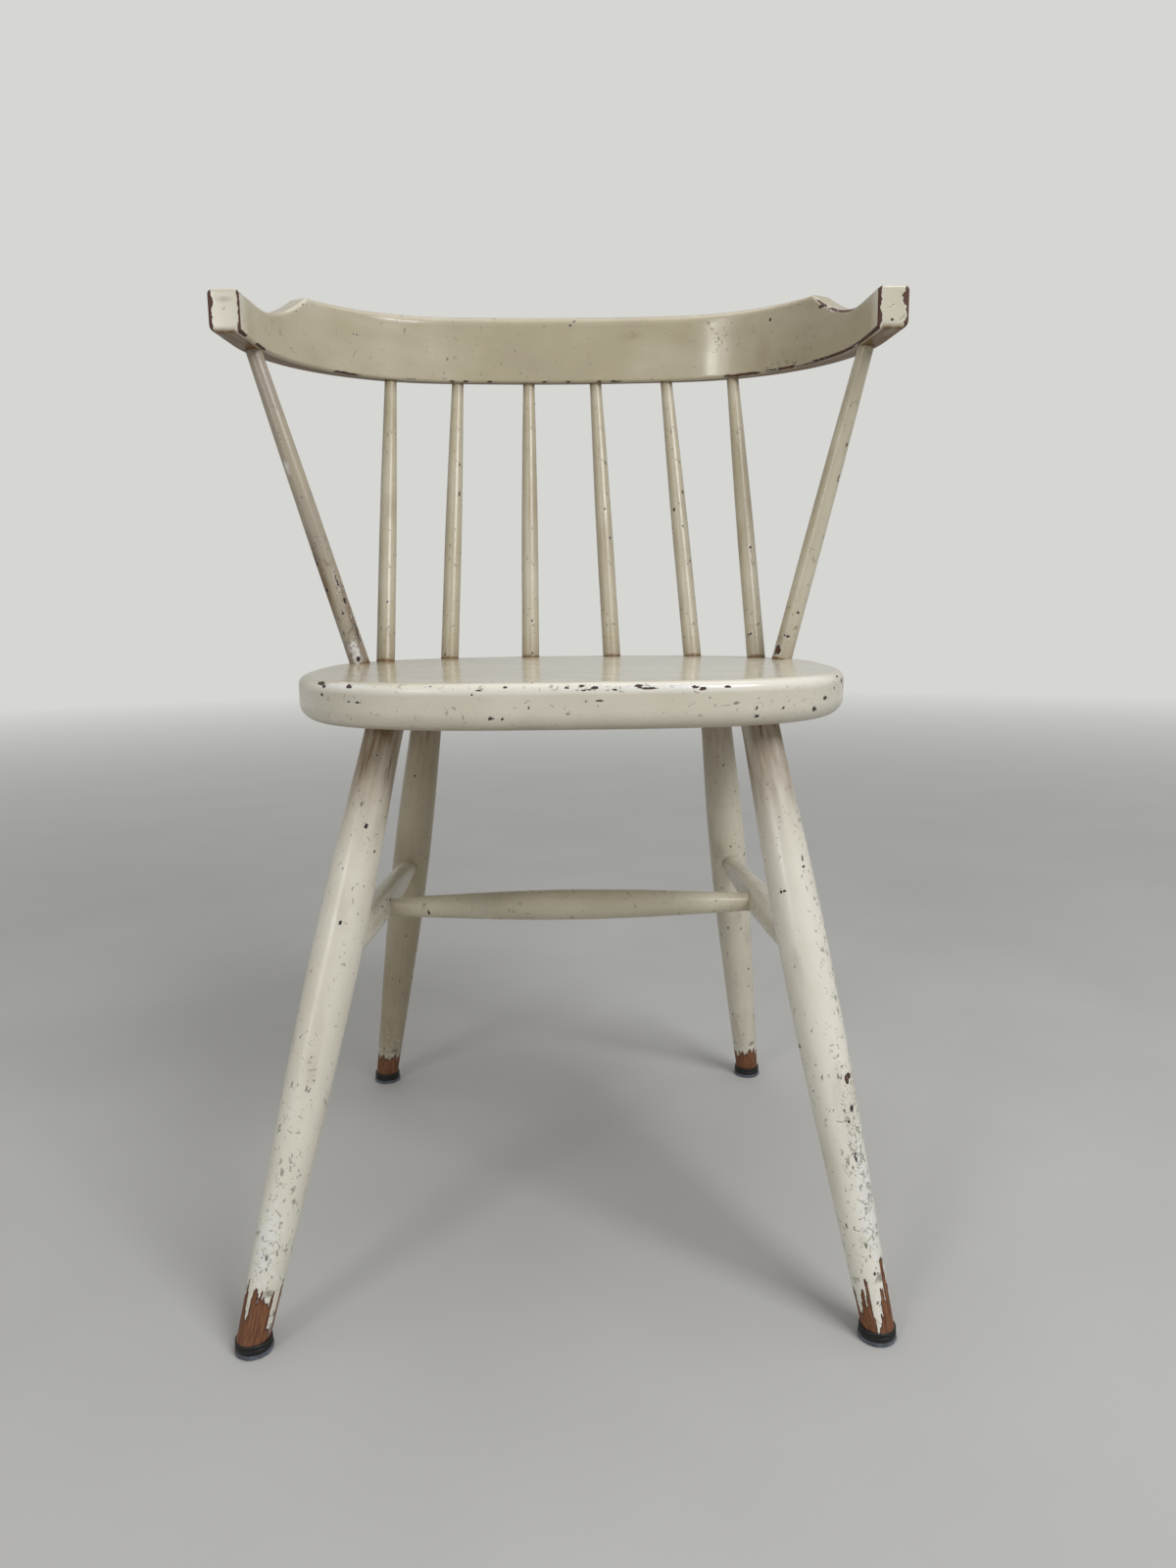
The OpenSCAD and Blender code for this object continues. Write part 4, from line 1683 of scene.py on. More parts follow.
    def build(self, paint: Material) -> Object:
        """Shapes, wears and paints the rail.

        Args:
            paint: Its finish.

        Returns:
            The piece.
        """
        low, high = (np.array(c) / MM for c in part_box(self.node))
        front_y = high[1] - self.mid_t
        right = self._stations()
        plan = [(-s, cut, k) for s, cut, k in reversed(right)] + right[1:]
        rings, grain = [], []
        for s, cut, share in plan:
            section = self._section(abs(s), cut)
            middle = (section.min(axis=0) + section.max(axis=0)) / 2
            section = middle + (section - middle) * share
            x, y, angle = (v[0] for v in self._front(np.array([abs(s)])))
            side = -1.0 if s < 0 else 1.0
            depth = section[:, 0]
            ring = np.stack(
                [
                    side * (x + depth * math.sin(angle)),
                    front_y + y + depth * math.cos(angle),
                    low[2] + section[:, 1],
                ],
                axis=1,
            )
            rings.append(ring)
            grain.append(np.stack([np.full(len(section), s), depth, section[:, 1]], axis=1))
        rings, grain = np.array(rings), np.array(grain)
        rings[..., 0] *= (high[0] - low[0]) / 2 / np.abs(rings[..., 0]).max()
        rings[..., 0] += (low[0] + high[0]) / 2
        mesh = skin_mesh(f"{self.node}_bent", rings)
        ends = np.array([grain[0].mean(axis=0), grain[-1].mean(axis=0)])
        grain = np.vstack([grain.reshape(-1, 3), ends])
        write_fields(mesh, grain, self._wear(grain))
        return place_piece(f"{self.node}_painted", mesh, paint, self.node)

    def _wear(self, grain: np.ndarray) -> dict[str, np.ndarray]:
        """Wears the rail's edges, its end faces and its lower front edge; darkens its underside
        as painted shade and its right half partly as painted shade.

        Args:
            grain: Every vertex's place.

        Returns:
            The fields of wear.
        """
        s, depth, height = grain.T
        away = np.abs(s)
        fields = blank_fields(len(grain))
        drawn = grain * np.array([0.3, 1.0, 1.0])
        cloud = value_noise(drawn, 34.0, self.seed)
        fields["tone"] = 0.4 + (cloud - 0.5) * 0.22 - 0.1 * rise(away, 170.0, 40.0)
        # The right half is greyer and darker: partly the paint's greyer tint, partly painted shade where that
        # half turns away from the light.
        fields["tone"] -= 0.08 * rise(s, 90.0, 230.0)
        fields["tone"] += 0.3 * rise(away, self.length - 24.0, self.length - 6.0)
        low_edge = rise(np.hypot(depth, height), 2.6, 1.3)
        top = np.array([self._top(v) for v in away])
        shoulder = rise(np.hypot(depth - 0.8, height - top + 0.8), 2.4, 1.0)
        worn_run = 0.05 + 0.85 * rise(s, 172.0, 205.0) + 0.12 * rise(s, -180.0, -215.0)
        worn_run += 0.3 * rise(s, -345.0, -362.0)
        nick = value_noise(grain * np.array([0.16, 1, 1]), 4.0, self.seed + 1, 3)
        low_nick = np.clip(0.5 + (nick - 0.70 + 0.36 * worn_run) * 9.0, 0.0, 1.1)
        high_run = 0.8 * rise(s, 266.0, 274.0) * rise(s, 345.0, 325.0) + 0.35 * rise(s, 360.0, 375.0)
        high_nick = np.clip(0.5 + (nick - 0.70 + 0.36 * high_run) * 9.0, 0.0, 1.1)
        small = flakes(grain, 4.5, 0.0002, self.seed + 2)
        fields["bare"] = np.maximum(low_nick * rise(low_edge, 0.2, 0.7), small)
        fields["bare"] = np.maximum(fields["bare"], high_nick * rise(shoulder, 0.2, 0.7))
        fields["speck"] = 0.0008 + 0.012 * rise(value_noise(grain, 25.0, self.seed + 5, 2), 0.5, 0.85)
        fields["speck"] += 0.04 * low_edge
        fields["grime_and_shade"] = 0.15 * rise(value_noise(drawn, 30.0, self.seed + 3), 0.5, 0.8)
        # Painted shade: the underside and its lower rounding are darkened to the dirt colour, standing in for
        # the shade under the rail.
        under = rise(height, 6.0, 0.0) * rise(depth, 2.0, 5.0)
        fields["grime_and_shade"] = np.maximum(fields["grime_and_shade"], 1.05 * under)
        fields["gloss"] = np.full(len(grain), 0.7)
        end = rise(away, self.length - 3.0, self.length - 1.0)
        wander = value_noise(grain * np.array([0.3, 0.3, 1.0]), 7.0, self.seed + 4, 3)
        outer = depth - self.arm_t + 7.5 * wander * np.where(s > 0, 1.35, 1.0) - 0.6
        inner = 4.6 * wander + 0.3 - depth
        inner = np.where(s > 0, inner, inner - 1.2)
        rim = np.maximum(rise(outer, -0.6, 0.6), rise(inner, -0.6, 0.6))
        fields["bare"] = np.maximum(fields["bare"], 1.1 * end * rim)
        for mark in self.marks:
            mark.lay(fields, grain)
        return fields


# ---------------------------------------------------------------- glides


@dataclass
class Glide:
    """A nail-on glide: a felt pad under a moulded cap, on its nail.

    Attributes:
        place: Which leg it is under, as its nodes' names end.
        groove: Depth of the groove round the cap.
        sides: Facets round the cap.
        fibres: Loose wool fibres round the pad.
        fibre_len: Length of a fibre.
        seed: Picks its fibres.
    """

    place: str
    seed: int
    groove: float = 0.7
    sides: int = 72
    fibres: int = 420
    fibre_len: float = 1.0

    def _lathe(self, name: str, profile: list[tuple[float, float]], centre: np.ndarray) -> Mesh:
        """Turns a profile about an upright axis.

        Args:
            name: The mesh's name.
            profile: Radius and height of each place, from the bottom up.
            centre: X and Y of the axis.

        Returns:
            The mesh.
        """
        turn = np.arange(self.sides) * 2 * np.pi / self.sides
        rings = np.array(
            [
                np.stack(
                    [centre[0] + r * np.cos(turn), centre[1] + r * np.sin(turn), np.full(self.sides, z)],
                    axis=1,
                )
                for r, z in profile
            ]
        )
        return skin_mesh(name, rings)

    def build_cap(self, plastic: Material) -> Object:
        """Moulds the cap, with a rounded rim, a groove and a shoulder.

        Args:
            plastic: Its finish.

        Returns:
            The piece.
        """
        node = f"glide_cap_{self.place}"
        low, high = (np.array(c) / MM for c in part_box(node))
        r = (high[0] - low[0]) / 2
        h = high[2] - low[2]
        z = low[2]
        profile = [(k * (r - 0.8), z) for k in (0.05, 0.3, 0.6, 0.85)]
        profile += self._corner(r - 0.8, z + 0.8, 0.8, -90, 0)
        profile += [(r, z + h * 0.2), (r, z + h * 0.36)]
        profile += self._corner(r - 0.3, z + h * 0.42, 0.3, 0, 90)
        profile += self._hollow(r - 0.1, z + h * 0.54, self.groove)
        profile += self._corner(r - 0.5, z + h * 0.66, 0.35, -90, 0)
        profile += [(r - 0.15, z + h * 0.76)]
        profile += self._corner(r - 0.15 - 0.9, z + h - 0.9, 0.9, 0, 90)
        profile += [(k * (r - 1.3), z + h) for k in (0.92, 0.6, 0.3, 0.05)]
        mesh = self._lathe(f"{node}_moulded", profile, (low + high)[:2] / 2)
        return place_piece(f"{node}_moulded", mesh, plastic, node)

    @staticmethod
    def _corner(x: float, z: float, r: float, start: float, end: float) -> list[tuple[float, float]]:
        """Lists points round a convex corner."""
        angles = np.radians(np.linspace(start, end, 6))
        return [(x + r * math.cos(a), z + r * math.sin(a)) for a in angles]

    @staticmethod
    def _hollow(x: float, z: float, r: float) -> list[tuple[float, float]]:
        """Lists points round a concave groove."""
        angles = np.radians(np.linspace(-90, -270, 9))
        return [(x + r * math.cos(a), z + r * math.sin(a)) for a in angles]

    def build_pad(self, felt: Material) -> Object:
        """Presses the pad, with a soft uneven edge and loose fibres.

        Args:
            felt: Its finish.

        Returns:
            The piece.
        """
        node = f"felt_pad_{self.place}"
        low, high = (np.array(c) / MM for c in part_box(node))
        r = (high[0] - low[0]) / 2 - 0.35
        h = high[2] - low[2]
        profile = [(k * (r - 0.6), low[2] + 0.02) for k in (0.05, 0.3, 0.6, 0.8)]
        profile += self._corner(r - 0.6, low[2] + 0.62, 0.6, -90, 0)
        profile += [(r, low[2] + h * k) for k in (0.35, 0.5, 0.62)]
        profile += self._corner(r - 0.7, low[2] + h - 0.7, 0.7, 0, 90)
        profile += [(k * (r - 0.7), low[2] + h) for k in (0.85, 0.6, 0.3, 0.05)]
        mesh = self._lathe(f"{node}_pressed", profile, (low + high)[:2] / 2)
        points = mesh_points(mesh)
        side = rise(np.linalg.norm(points[:, :2] - (low + high)[:2] / 2, axis=1), r - 3.0, r)
        lumps = (value_noise(points, 2.2, self.seed, 3) - 0.62) * 0.9 * side
        outward = points[:, :2] - (low + high)[:2] / 2
        outward /= np.maximum(np.linalg.norm(outward, axis=1), 0.1)[:, None]
        points[:, :2] += outward * lumps[:, None]
        mesh.vertices.foreach_set("co", (points * MM).ravel())
        face_outwards(mesh)
        pad = FuzzTree().cover(mesh, felt, self.fibres, self.fibre_len * MM, self.seed)
        points = mesh_points(pad)
        points[:, 2] = np.maximum(points[:, 2], low[2])
        pad.vertices.foreach_set("co", (points * MM).ravel())
        return place_piece(f"{node}_pressed", pad, felt, node)


class FuzzTree:
    """A Geometry Nodes tree that stands short loose fibres on a pad's side."""

    name = "loose_fibres"

    def __init__(self) -> None:
        """Builds the tree, or takes it if it is there."""
        self.tree = bpy.data.node_groups.get(self.name)
        if self.tree is None:
            self.tree = bpy.data.node_groups.new(self.name, "GeometryNodeTree")
            for label, kind in (
                ("Geometry", "NodeSocketGeometry"),
                ("Count", "NodeSocketInt"),
                ("Fibre Length", "NodeSocketFloat"),
                ("Fibre Radius", "NodeSocketFloat"),
                ("Seed", "NodeSocketInt"),
                ("Felt", "NodeSocketMaterial"),
            ):
                self.tree.interface.new_socket(label, in_out="INPUT", socket_type=kind)
            self.tree.interface.new_socket(
                "Geometry", in_out="OUTPUT", socket_type="NodeSocketGeometry"
            )
            self._wire()
        self.ids = {
            item.name: item.identifier
            for item in self.tree.interface.items_tree
            if item.in_out == "INPUT"
        }

    def _wire(self) -> None:
        """Scatters points on the side, stands a thin cone on each and joins them to the pad."""
        tree = self.tree
        given = add_node(tree, "NodeGroupInput").outputs
        normal = add_node(tree, "GeometryNodeInputNormal")
        parts = add_node(tree, "ShaderNodeSeparateXYZ", links={0: normal.outputs[0]})
        level = maths(tree, "ABSOLUTE", parts.outputs["Z"])
        side = maths(tree, "LESS_THAN", level, 0.8)
        area = add_node(
            tree, "GeometryNodeAttributeStatistic", {"domain": "FACE"}, {"Geometry": given["Geometry"]}
        )
        face = add_node(tree, "GeometryNodeInputMeshFaceArea")
        tree.links.new(maths(tree, "MULTIPLY", face.outputs[0], side), area.inputs[2])
        density = maths(tree, "DIVIDE", given["Count"], area.outputs["Sum"])
        points = add_node(
            tree,
            "GeometryNodeDistributePointsOnFaces",
            links={
                "Mesh": given["Geometry"],
                "Selection": side,
                "Density": density,
                "Seed": given["Seed"],
            },
        )
        fibre = add_node(
            tree,
            "GeometryNodeMeshCone",
            {"fill_type": "TRIANGLE_FAN", "[Vertices]": 4, "[Radius Top]": 0.00002},
            {"Radius Bottom": given["Fibre Radius"], "Depth": given["Fibre Length"]},
        )
        swing = add_node(
            tree,
            "FunctionNodeRandomValue",
            {"data_type": "FLOAT_VECTOR", "[0]": (-0.9, -0.9, -3.1), "[1]": (0.9, 0.9, 3.1)},
            {"Seed": given["Seed"]},
        )
        turned = add_node(
            tree,
            "FunctionNodeRotateRotation",
            {"rotation_space": "LOCAL"},
            {0: points.outputs["Rotation"], 1: swing.outputs[0]},
        )
        size = add_node(tree, "FunctionNodeRandomValue", {"data_type": "FLOAT"}, {"Seed": given["Seed"]})
        size.inputs[2].default_value = 0.35
        size.inputs[3].default_value = 1.0
        stood = add_node(
            tree,
            "GeometryNodeInstanceOnPoints",
            links={
                "Points": points.outputs["Points"],
                "Instance": fibre.outputs["Mesh"],
                "Rotation": turned.outputs[0],
                "Scale": size.outputs[1],
            },
        )
        both = add_node(tree, "GeometryNodeJoinGeometry")
        tree.links.new(stood.outputs[0], both.inputs[0])
        tree.links.new(given["Geometry"], both.inputs[0])
        real = add_node(tree, "GeometryNodeRealizeInstances", links={"Geometry": both.outputs[0]})
        dressed = add_node(
            tree, "GeometryNodeSetMaterial", links={"Geometry": real.outputs[0], "Material": given["Felt"]}
        )
        add_node(tree, "NodeGroupOutput", links={0: dressed.outputs[0]})

    def cover(
        self, mesh: Mesh, felt: Material, count: int, length: float, seed: int
    ) -> Mesh:
        """Covers a pad's side and returns the whole as a plain mesh.

        Args:
            mesh: The pad.
            felt: Its finish.
            count: Number of fibres.
            length: Length of a fibre in metres.
            seed: Picks their places.

        Returns:
            The covered pad.
        """
        holder = bpy.data.objects.new("pad_blank", mesh)
        bpy.context.scene.collection.objects.link(holder)
        modifier = holder.modifiers.new("fibres", "NODES")
        modifier.node_group = self.tree
        modifier[self.ids["Count"]] = count
        modifier[self.ids["Fibre Length"]] = length
        modifier[self.ids["Fibre Radius"]] = 0.00007
        modifier[self.ids["Seed"]] = seed
        modifier[self.ids["Felt"]] = felt
        seen = holder.evaluated_get(bpy.context.evaluated_depsgraph_get())
        covered = bpy.data.meshes.new_from_object(seen)
        holder.modifiers.clear()
        bpy.data.objects.remove(holder)
        return covered


# ---------------------------------------------------------------- assemblies


class Corner(Enum):
    """The four legs; each value is how its nodes' names end."""

    FRONT_LEFT = "front_left"
    FRONT_RIGHT = "front_right"
    REAR_LEFT = "rear_left"
    REAR_RIGHT = "rear_right"


@dataclass
class Undercarriage:
    """Legs, stretchers and glides."""

    paint: Material
    plastic: Material
    felt: Material
    steel: Material
    turner: StickTree
    side_sizes: StickSizes = StickSizes(17.0, 25.0, 17.0, 0.5, 21.75, rings=220, sides=44)
    cross_sizes: StickSizes = StickSizes(15.5, 26.0, 15.5, 0.5, 13.5, rings=240, sides=44)

    def legs(self) -> list[Leg]:
        """Lists the legs with their own wear.

        Returns:
            The four legs.
        """
        left = (
            Knock(419, 48, 1.4, 1.3),
            Knock(353, 18, 3.4, 1.5, power=0.9),
            Knock(336, 55, 1.3, 1.2),
            Knock(41, -6, 5.5, 2.2, power=1.2),
            Knock(56, -14, 2.6, 1.5),
            Knock(122, -44, 1.2, 1.1),
            Knock(116, -33, 1.1, 1.1),
            Knock(195, -55, 1.3, 1.1),
            Knock(92, -48, 3.4, 1.2),
            Knock(64, 58, 11.0, 1.2),
            Knock(56, 44, 2.0, 1.0),
            Knock(262, 30, 1.1, 1.1),
            Knock(240, -60, 40.0, 4.0, Wear.SPECKED, 0.2),
            Knock(66, 5, 50.0, 15.0, Wear.SPECKED, 0.5),
            Knock(140, -10, 60.0, 12.0, Wear.SPECKED, 0.3),
            Knock(60, -10, 50.0, 14.0, Wear.RUBBED, 0.42),
        )
        right = (
            Knock(20, 6, 4.4, 2.4, power=1.2),
            Knock(164, 34, 3.4, 1.8),
            Knock(166, 42, 2.2, 3.4, power=0.9),
            Knock(144, 34, 2.6, 2.2),
            Knock(136, 18, 1.8, 1.6),
            Knock(112, 18, 6.5, 2.0),
            Knock(124, -1, 1.8, 1.2),
            Knock(98, -26, 3.0, 1.0),
            Knock(86, -20, 5.0, 0.9),
            Knock(80, 16, 2.2, 2.6),
            Knock(68, 30, 1.6, 1.4),
            Knock(58, 52, 4.5, 1.6),
            Knock(42, 6, 2.2, 2.6, power=0.95),
            Knock(30, 42, 9.0, 1.6),
            Knock(299, -36, 0.9, 4.0, power=1.0),
            Knock(398, 44, 5.0, 0.8, Wear.SPECKED, 1.0),
            Knock(352, -8, 1.8, 1.2, power=0.9),
            Knock(228, 20, 1.4, 1.0),
            Knock(100, 38, 90.0, 11.0, Wear.SPECKED, 0.85),
            Knock(56, 12, 55.0, 12.0, Wear.SPECKED, 0.5),
            Knock(230, 56, 130.0, 9.0, Wear.SPECKED, 0.36),
            Knock(74, 32, 64.0, 12.0, Wear.RUBBED, 0.46),
        )
        rear = (
            Knock(120, 10, 1.6, 1.2),
            Knock(212, -35, 1.6, 1.1),
            # Only the rear left leg takes this long stain, since the right takes rear[:2]; it is painted
            # shade for the chair's shadow over that leg.
            Knock(110, -10, 110.0, 18.0, Wear.STAIN_AND_SHADE, 0.32),
        )
        return [
            Leg(
                f"leg_{Corner.FRONT_LEFT.value}",
                seed=11,
                knocks=left,
                flaked=0.0015,
                specks=0.022,
                tone=0.84,
                soil_and_shade_top=0.85,
                bare_to=30.0,
                jagged=8.0,
                tongues=(Tongue(-32, 7, 12.0), Tongue(62, 12, 6.0)),
            ),
            Leg(
                f"leg_{Corner.FRONT_RIGHT.value}",
                seed=29,
                knocks=right,
                flaked=0.002,
                specks=0.025,
                tone=0.97,
                soil_and_shade_top=0.75,
                bare_to=24.0,
                jagged=9.0,
                tongues=(Tongue(0, 17, 3.0), Tongue(46, 9, 44.0), Tongue(-62, 10, 13.0)),
            ),
            Leg(
                f"leg_{Corner.REAR_LEFT.value}",
                seed=43,
                knocks=rear,
                bare_to=22.0,
                jagged=6.0,
                specks=0.02,
                # Tone 0.3 darkens this leg as painted shade, standing in for the chair's shadow over it.
                tone=0.3,
                soil_and_shade_top=0.6,
            ),
            Leg(
                f"leg_{Corner.REAR_RIGHT.value}",
                seed=59,
                knocks=rear[:2],
                bare_to=21.0,
                jagged=6.0,
                specks=0.02,
                tone=0.68,
                soil_and_shade_top=0.6,
            ),
        ]

    def build(self) -> list[Object]:
        """Builds legs, stretchers and glides.

        Returns:
            The new pieces.
        """
        made = [leg.build(self.paint) for leg in self.legs()]
        ends = {"hidden": (16.0, 16.0), "trim": (0.0, 0.0)}
        made += [
            Stick("stretcher_left", 71, sizes=self.side_sizes, specks=0.03, **ends).build(
                self.turner, self.paint
            ),
            Stick("stretcher_right", 73, sizes=self.side_sizes, specks=0.03, **ends).build(
                self.turner, self.paint
            ),
            Stick(
                "stretcher_cross",
                79,
                sizes=self.cross_sizes,
                flaked=0.002,
                specks=0.02,
                tone=0.5,
                hidden=(8.0, 8.0),
                trim=(0.0, 0.0),
            ).build(self.turner, self.paint),
        ]
        for i, corner in enumerate(Corner):
            glide = Glide(corner.value, seed=101 + i)
            made += [glide.build_cap(self.plastic), glide.build_pad(self.felt)]
            nail = bpy.data.objects[f"glide_nail_{corner.value}"]
            for slot in nail.material_slots:
                slot.material = self.steel
            log.info("%s keeps its frame mesh, in %s", nail.name, self.steel.name)
        return made


@dataclass
class Back:
    """Eight spindles and the crest rail."""

    paint: Material
    turner: StickTree
    outer: StickSizes = StickSizes(18.0, 17.5, 14.0, 0.25, 13.0, rings=230, sides=34)
    inner: StickSizes = StickSizes(17.5, 17.0, 12.0, 0.25, 13.0, rings=210, sides=32)

    def spindles(self) -> list[Stick]:
        """Lists the spindles from the sitter's right to left, with their own wear.

        Returns:
            The eight spindles.
        """
        first = (
            Knock(30, 62, 17.0, 1.5, power=0.8),
            Knock(58, 50, 3.4, 1.4),
            Knock(78, 40, 10.0, 1.3, power=0.8),
            Knock(72, -40, 3.0, 1.3),
            Knock(98, -52, 5.0, 1.6),
            Knock(104, -66, 3.0, 1.4),
            Knock(4, 10, 2.4, 1.8),
            Knock(184, -30, 9.0, 3.0, Wear.RUBBED, 0.5),
            Knock(82, -50, 34.0, 5.0, Wear.STAIN_AND_SHADE, 0.85),
            Knock(36, 58, 30.0, 3.0, Wear.STAIN_AND_SHADE, 0.8),
            Knock(80, 0, 60.0, 7.0, Wear.SPECKED, 0.3),
            Knock(40, 50, 50.0, 5.0, Wear.SPECKED, 0.8),
            Knock(10, 10, 14.0, 6.0, Wear.SPECKED, 0.8),
            Knock(10, 5, 16.0, 6.0, Wear.RUBBED, 0.5),
        )
        last = (
            Knock(7, -52, 4.6, 3.4),
            Knock(104, -5, 4.5, 1.0, Wear.SPECKED, 1.1),
            Knock(113, 42, 3.0, 1.5, Wear.SPECKED, 1.0),
            Knock(14, -60, 16.0, 6.0, Wear.STAIN_AND_SHADE, 0.35),
        )
        wear: dict[int, tuple[Knock, ...]] = {
            1: first,
            5: (Knock(120, 40, 2.0, 1.2), Knock(150, 10, 1.6, 1.2)),
            6: (Knock(150, -40, 2.0, 1.4), Knock(96, 50, 2.0, 1.2)),
            8: last,
        }
        return [
            Stick(
                f"spindle_{i}",
                seed=130 + 7 * i,
                sizes=self.outer if i in (1, 8) else self.inner,
                knocks=wear.get(i, ()),
                tone={1: 0.12, 8: 0.46}.get(i, 0.4),
            )
            for i in range(1, 9)
        ]

    def rail_marks(self) -> tuple[Mark, ...]:
        """Lists the crest rail's own marks.

        Returns:
            Marks in the rail's grain coordinates.
        """
        bare, stain, rubbed, speck = Wear.BARE, Wear.STAIN_AND_SHADE, Wear.RUBBED, Wear.SPECKED
        knocks = [
            (-396, 0, 1.5, 5.0, 2.4, 1.5),
            (-388, 0, 1, 3.0, 2.0, 1.2),
            (-226, 1, 0, 9.0, 2.0, 1.7),
            (-214, 1, 0, 6.0, 2.0, 1.3),
            (-266, 1, 54.5, 1.0, 2.0, 0.9),
            (-270, 1, 54, 0.9, 2.0, 0.9),
            (-280, 1, 46, 1.0, 2.0, 0.9),
            (9, 0, 55.5, 1.4, 2.0, 1.2),
            (13, 1, 59.5, 1.1, 2.0, 1.0),
            (277, 1, 48.5, 5.0, 3.0, 1.7),
            (214, 0, 49, 1.5, 2.0, 1.5),
            (244, 0, 4, 1.0, 2.0, 1.4),
            (397, 2.5, 33, 3.0, 5.0, 2.0),
            (394, 0, 1.4, 9.0, 2.0, 1.5),
            (401, 12, 7, 1.0, 1.2, 1.4),
        ]
        knocks += [(s, 0.5, 0.5, 2.6, 1.6, 1.0) for s in (-112, -98, -74, -18, 6, 38, 52)]
        marks = [Mark(k[:3], k[3:], bare, 1.15) for k in knocks]
        dots = [(-230, 36), (-212, 38), (-208, 38), (-224, 52), (-66, 63), (70, 62), (104, 58), (149, 54)]
        marks += [Mark((s, 0, h), (0.9, 2.0, 0.9), bare, 1.0) for s, h in dots]
        marks += [
            Mark((-200, 0, 40), (14, 3, 6), stain, 0.1),
            Mark((-158, 0, 39), (18, 3, 6), stain, 0.1),
            Mark((72, 0, 44), (10, 3, 4), stain, 0.16),
            Mark((-401, 12, 26), (3, 6, 2), stain, 0.35),
            Mark((206, 0, 20), (8, 3, 22), stain, 0.2),
            Mark((244, 0, 10), (40, 3, 9), stain, 0.16),
            Mark((236, 0, 3), (26, 3, 5), speck, 0.5),
            Mark((-116, 0, 22), (0.8, 2, 4.5), speck, 0.9),
            Mark((-56, 0, 26), (0.8, 2, 5), speck, 0.9),
            Mark((164, 0, 40), (12, 3, 12), speck, 0.35),
            Mark((300, 2, 42), (24, 4, 5), rubbed, 0.4),
            Mark((400, 14, 20), (4, 9, 14), rubbed, 0.2),
        ]
        return tuple(marks)

    def build(self) -> list[Object]:
        """Builds the spindles and the crest rail.

        Returns:
            The new pieces.
        """
        made = [spindle.build(self.turner, self.paint) for spindle in self.spindles()]
        made.append(CrestRail(marks=self.rail_marks()).build(self.paint))
        return made


def seat_marks(board: SeatBoard) -> tuple[Mark, ...]:
    """Lists the seat's own marks.

    Args:
        board: The seat, for its outline.

    Returns:
        Marks from the middle of its width, in Y, and below its top.
    """
    chips = [
        (-182, 2, 4.4, 1.5),
        (-178, 4, 1.6, 1.2),
        (-157, 3, 2.4, 1.5),
        (-64, 5, 1.8, 0.8),
        (-68, 8, 0.9, 1.6),
        (-46, 3, 1.6, 0.9),
        (-4, 3.6, 2.0, 0.9),
        (6, 2.6, 2.4, 1.0),
        (15, 3.6, 2.6, 0.8),
        (10, 5.4, 13.0, 0.55),
        (27, 5.4, 9.0, 0.55),
        (45, 3.2, 3.0, 1.5),
        (52, 4.6, 6.0, 0.8),
        (84, 4.2, 3.2, 1.1),
        (89, 5.6, 2.4, 1.3),
        (107, 4.4, 3.0, 0.8),
        (204, 7, 1.5, 1.8),
        (208, 10, 0.9, 7.0),
        (211, 13, 0.8, 8.0),
        (213, 6, 2.0, 5.0),
        (215, 4, 2.0, 2.4),
        (200, 3, 5.0, 0.7),
        (9, 13.5, 1.2, 0.8),
        (18, 13, 2.8, 0.7),
        (-56, 24, 3.4, 1.0),
        (-48, 24.5, 1.4, 0.7),
        (184, 17, 2.0, 1.5),
        (174, 24, 1.8, 2.2),
        (128, 26, 1.6, 1.5),
        (128, 20, 0.9, 1.4),
        (194, 11, 1.0, 1.0),
        (-150, 14, 2.4, 0.8),
        (-157, 13.5, 1.2, 0.8),
        (-180, 10, 1.4, 1.0),
        (-30, 17, 1.4, 0.8),
        (-2, 19.5, 0.9, 0.8),
        (62, 24, 5.0, 0.5),
        (148, 21, 1.0, 1.0),
    ]
    marks = [
        Mark((x, board.front_edge(x), -below), (wide, 9.0 if x < 196 else 4.0, tall), Wear.BARE, 1.0)
        for x, below, wide, tall in chips
    ]
    marks.append(Mark((150, -160, -18), (80, 40, 12), Wear.SPECKED, 0.12))
    marks.append(Mark((30, -182, -4), (46, 12, 2), Wear.SPECKED, 0.5))
    # These two whiten the front top edge: rubbed paint, and part of the painted highlight along that edge.
    marks.append(Mark((62, -182, -4), (60, 14, 2.4), Wear.RUBBED, 0.5))
    marks.append(Mark((-162, -152, -3), (26, 20, 3), Wear.RUBBED, 0.5))
    return tuple(marks)


# ---------------------------------------------------------------- studio and camera


@dataclass
class Lamp:
    """A softbox.

    Attributes:
        name: Its name.
        at: Where it stands, in metres.
        aim: What it points at, in metres.
        size: Width and height, in metres.
        watts: Its power.
        colour: Its light's colour.
    """

    name: str
    at: tuple[float, float, float]
    aim: tuple[float, float, float]
    size: tuple[float, float]
    watts: float
    colour: str = "#FFFFFF"

    def build(self) -> None:
        """Stands the softbox in the scene."""
        light = bpy.data.lights.new(self.name, "AREA")
        light.shape = "RECTANGLE"
        light.size, light.size_y = self.size
        light.energy = self.watts
        light.color = linear(self.colour)[:3]
        lamp = bpy.data.objects.new(self.name, light)
        lamp.location = self.at
        away = Vector(self.at) - Vector(self.aim)
        lamp.rotation_euler = away.to_track_quat("Z", "Y").to_euler()
        bpy.context.scene.collection.objects.link(lamp)


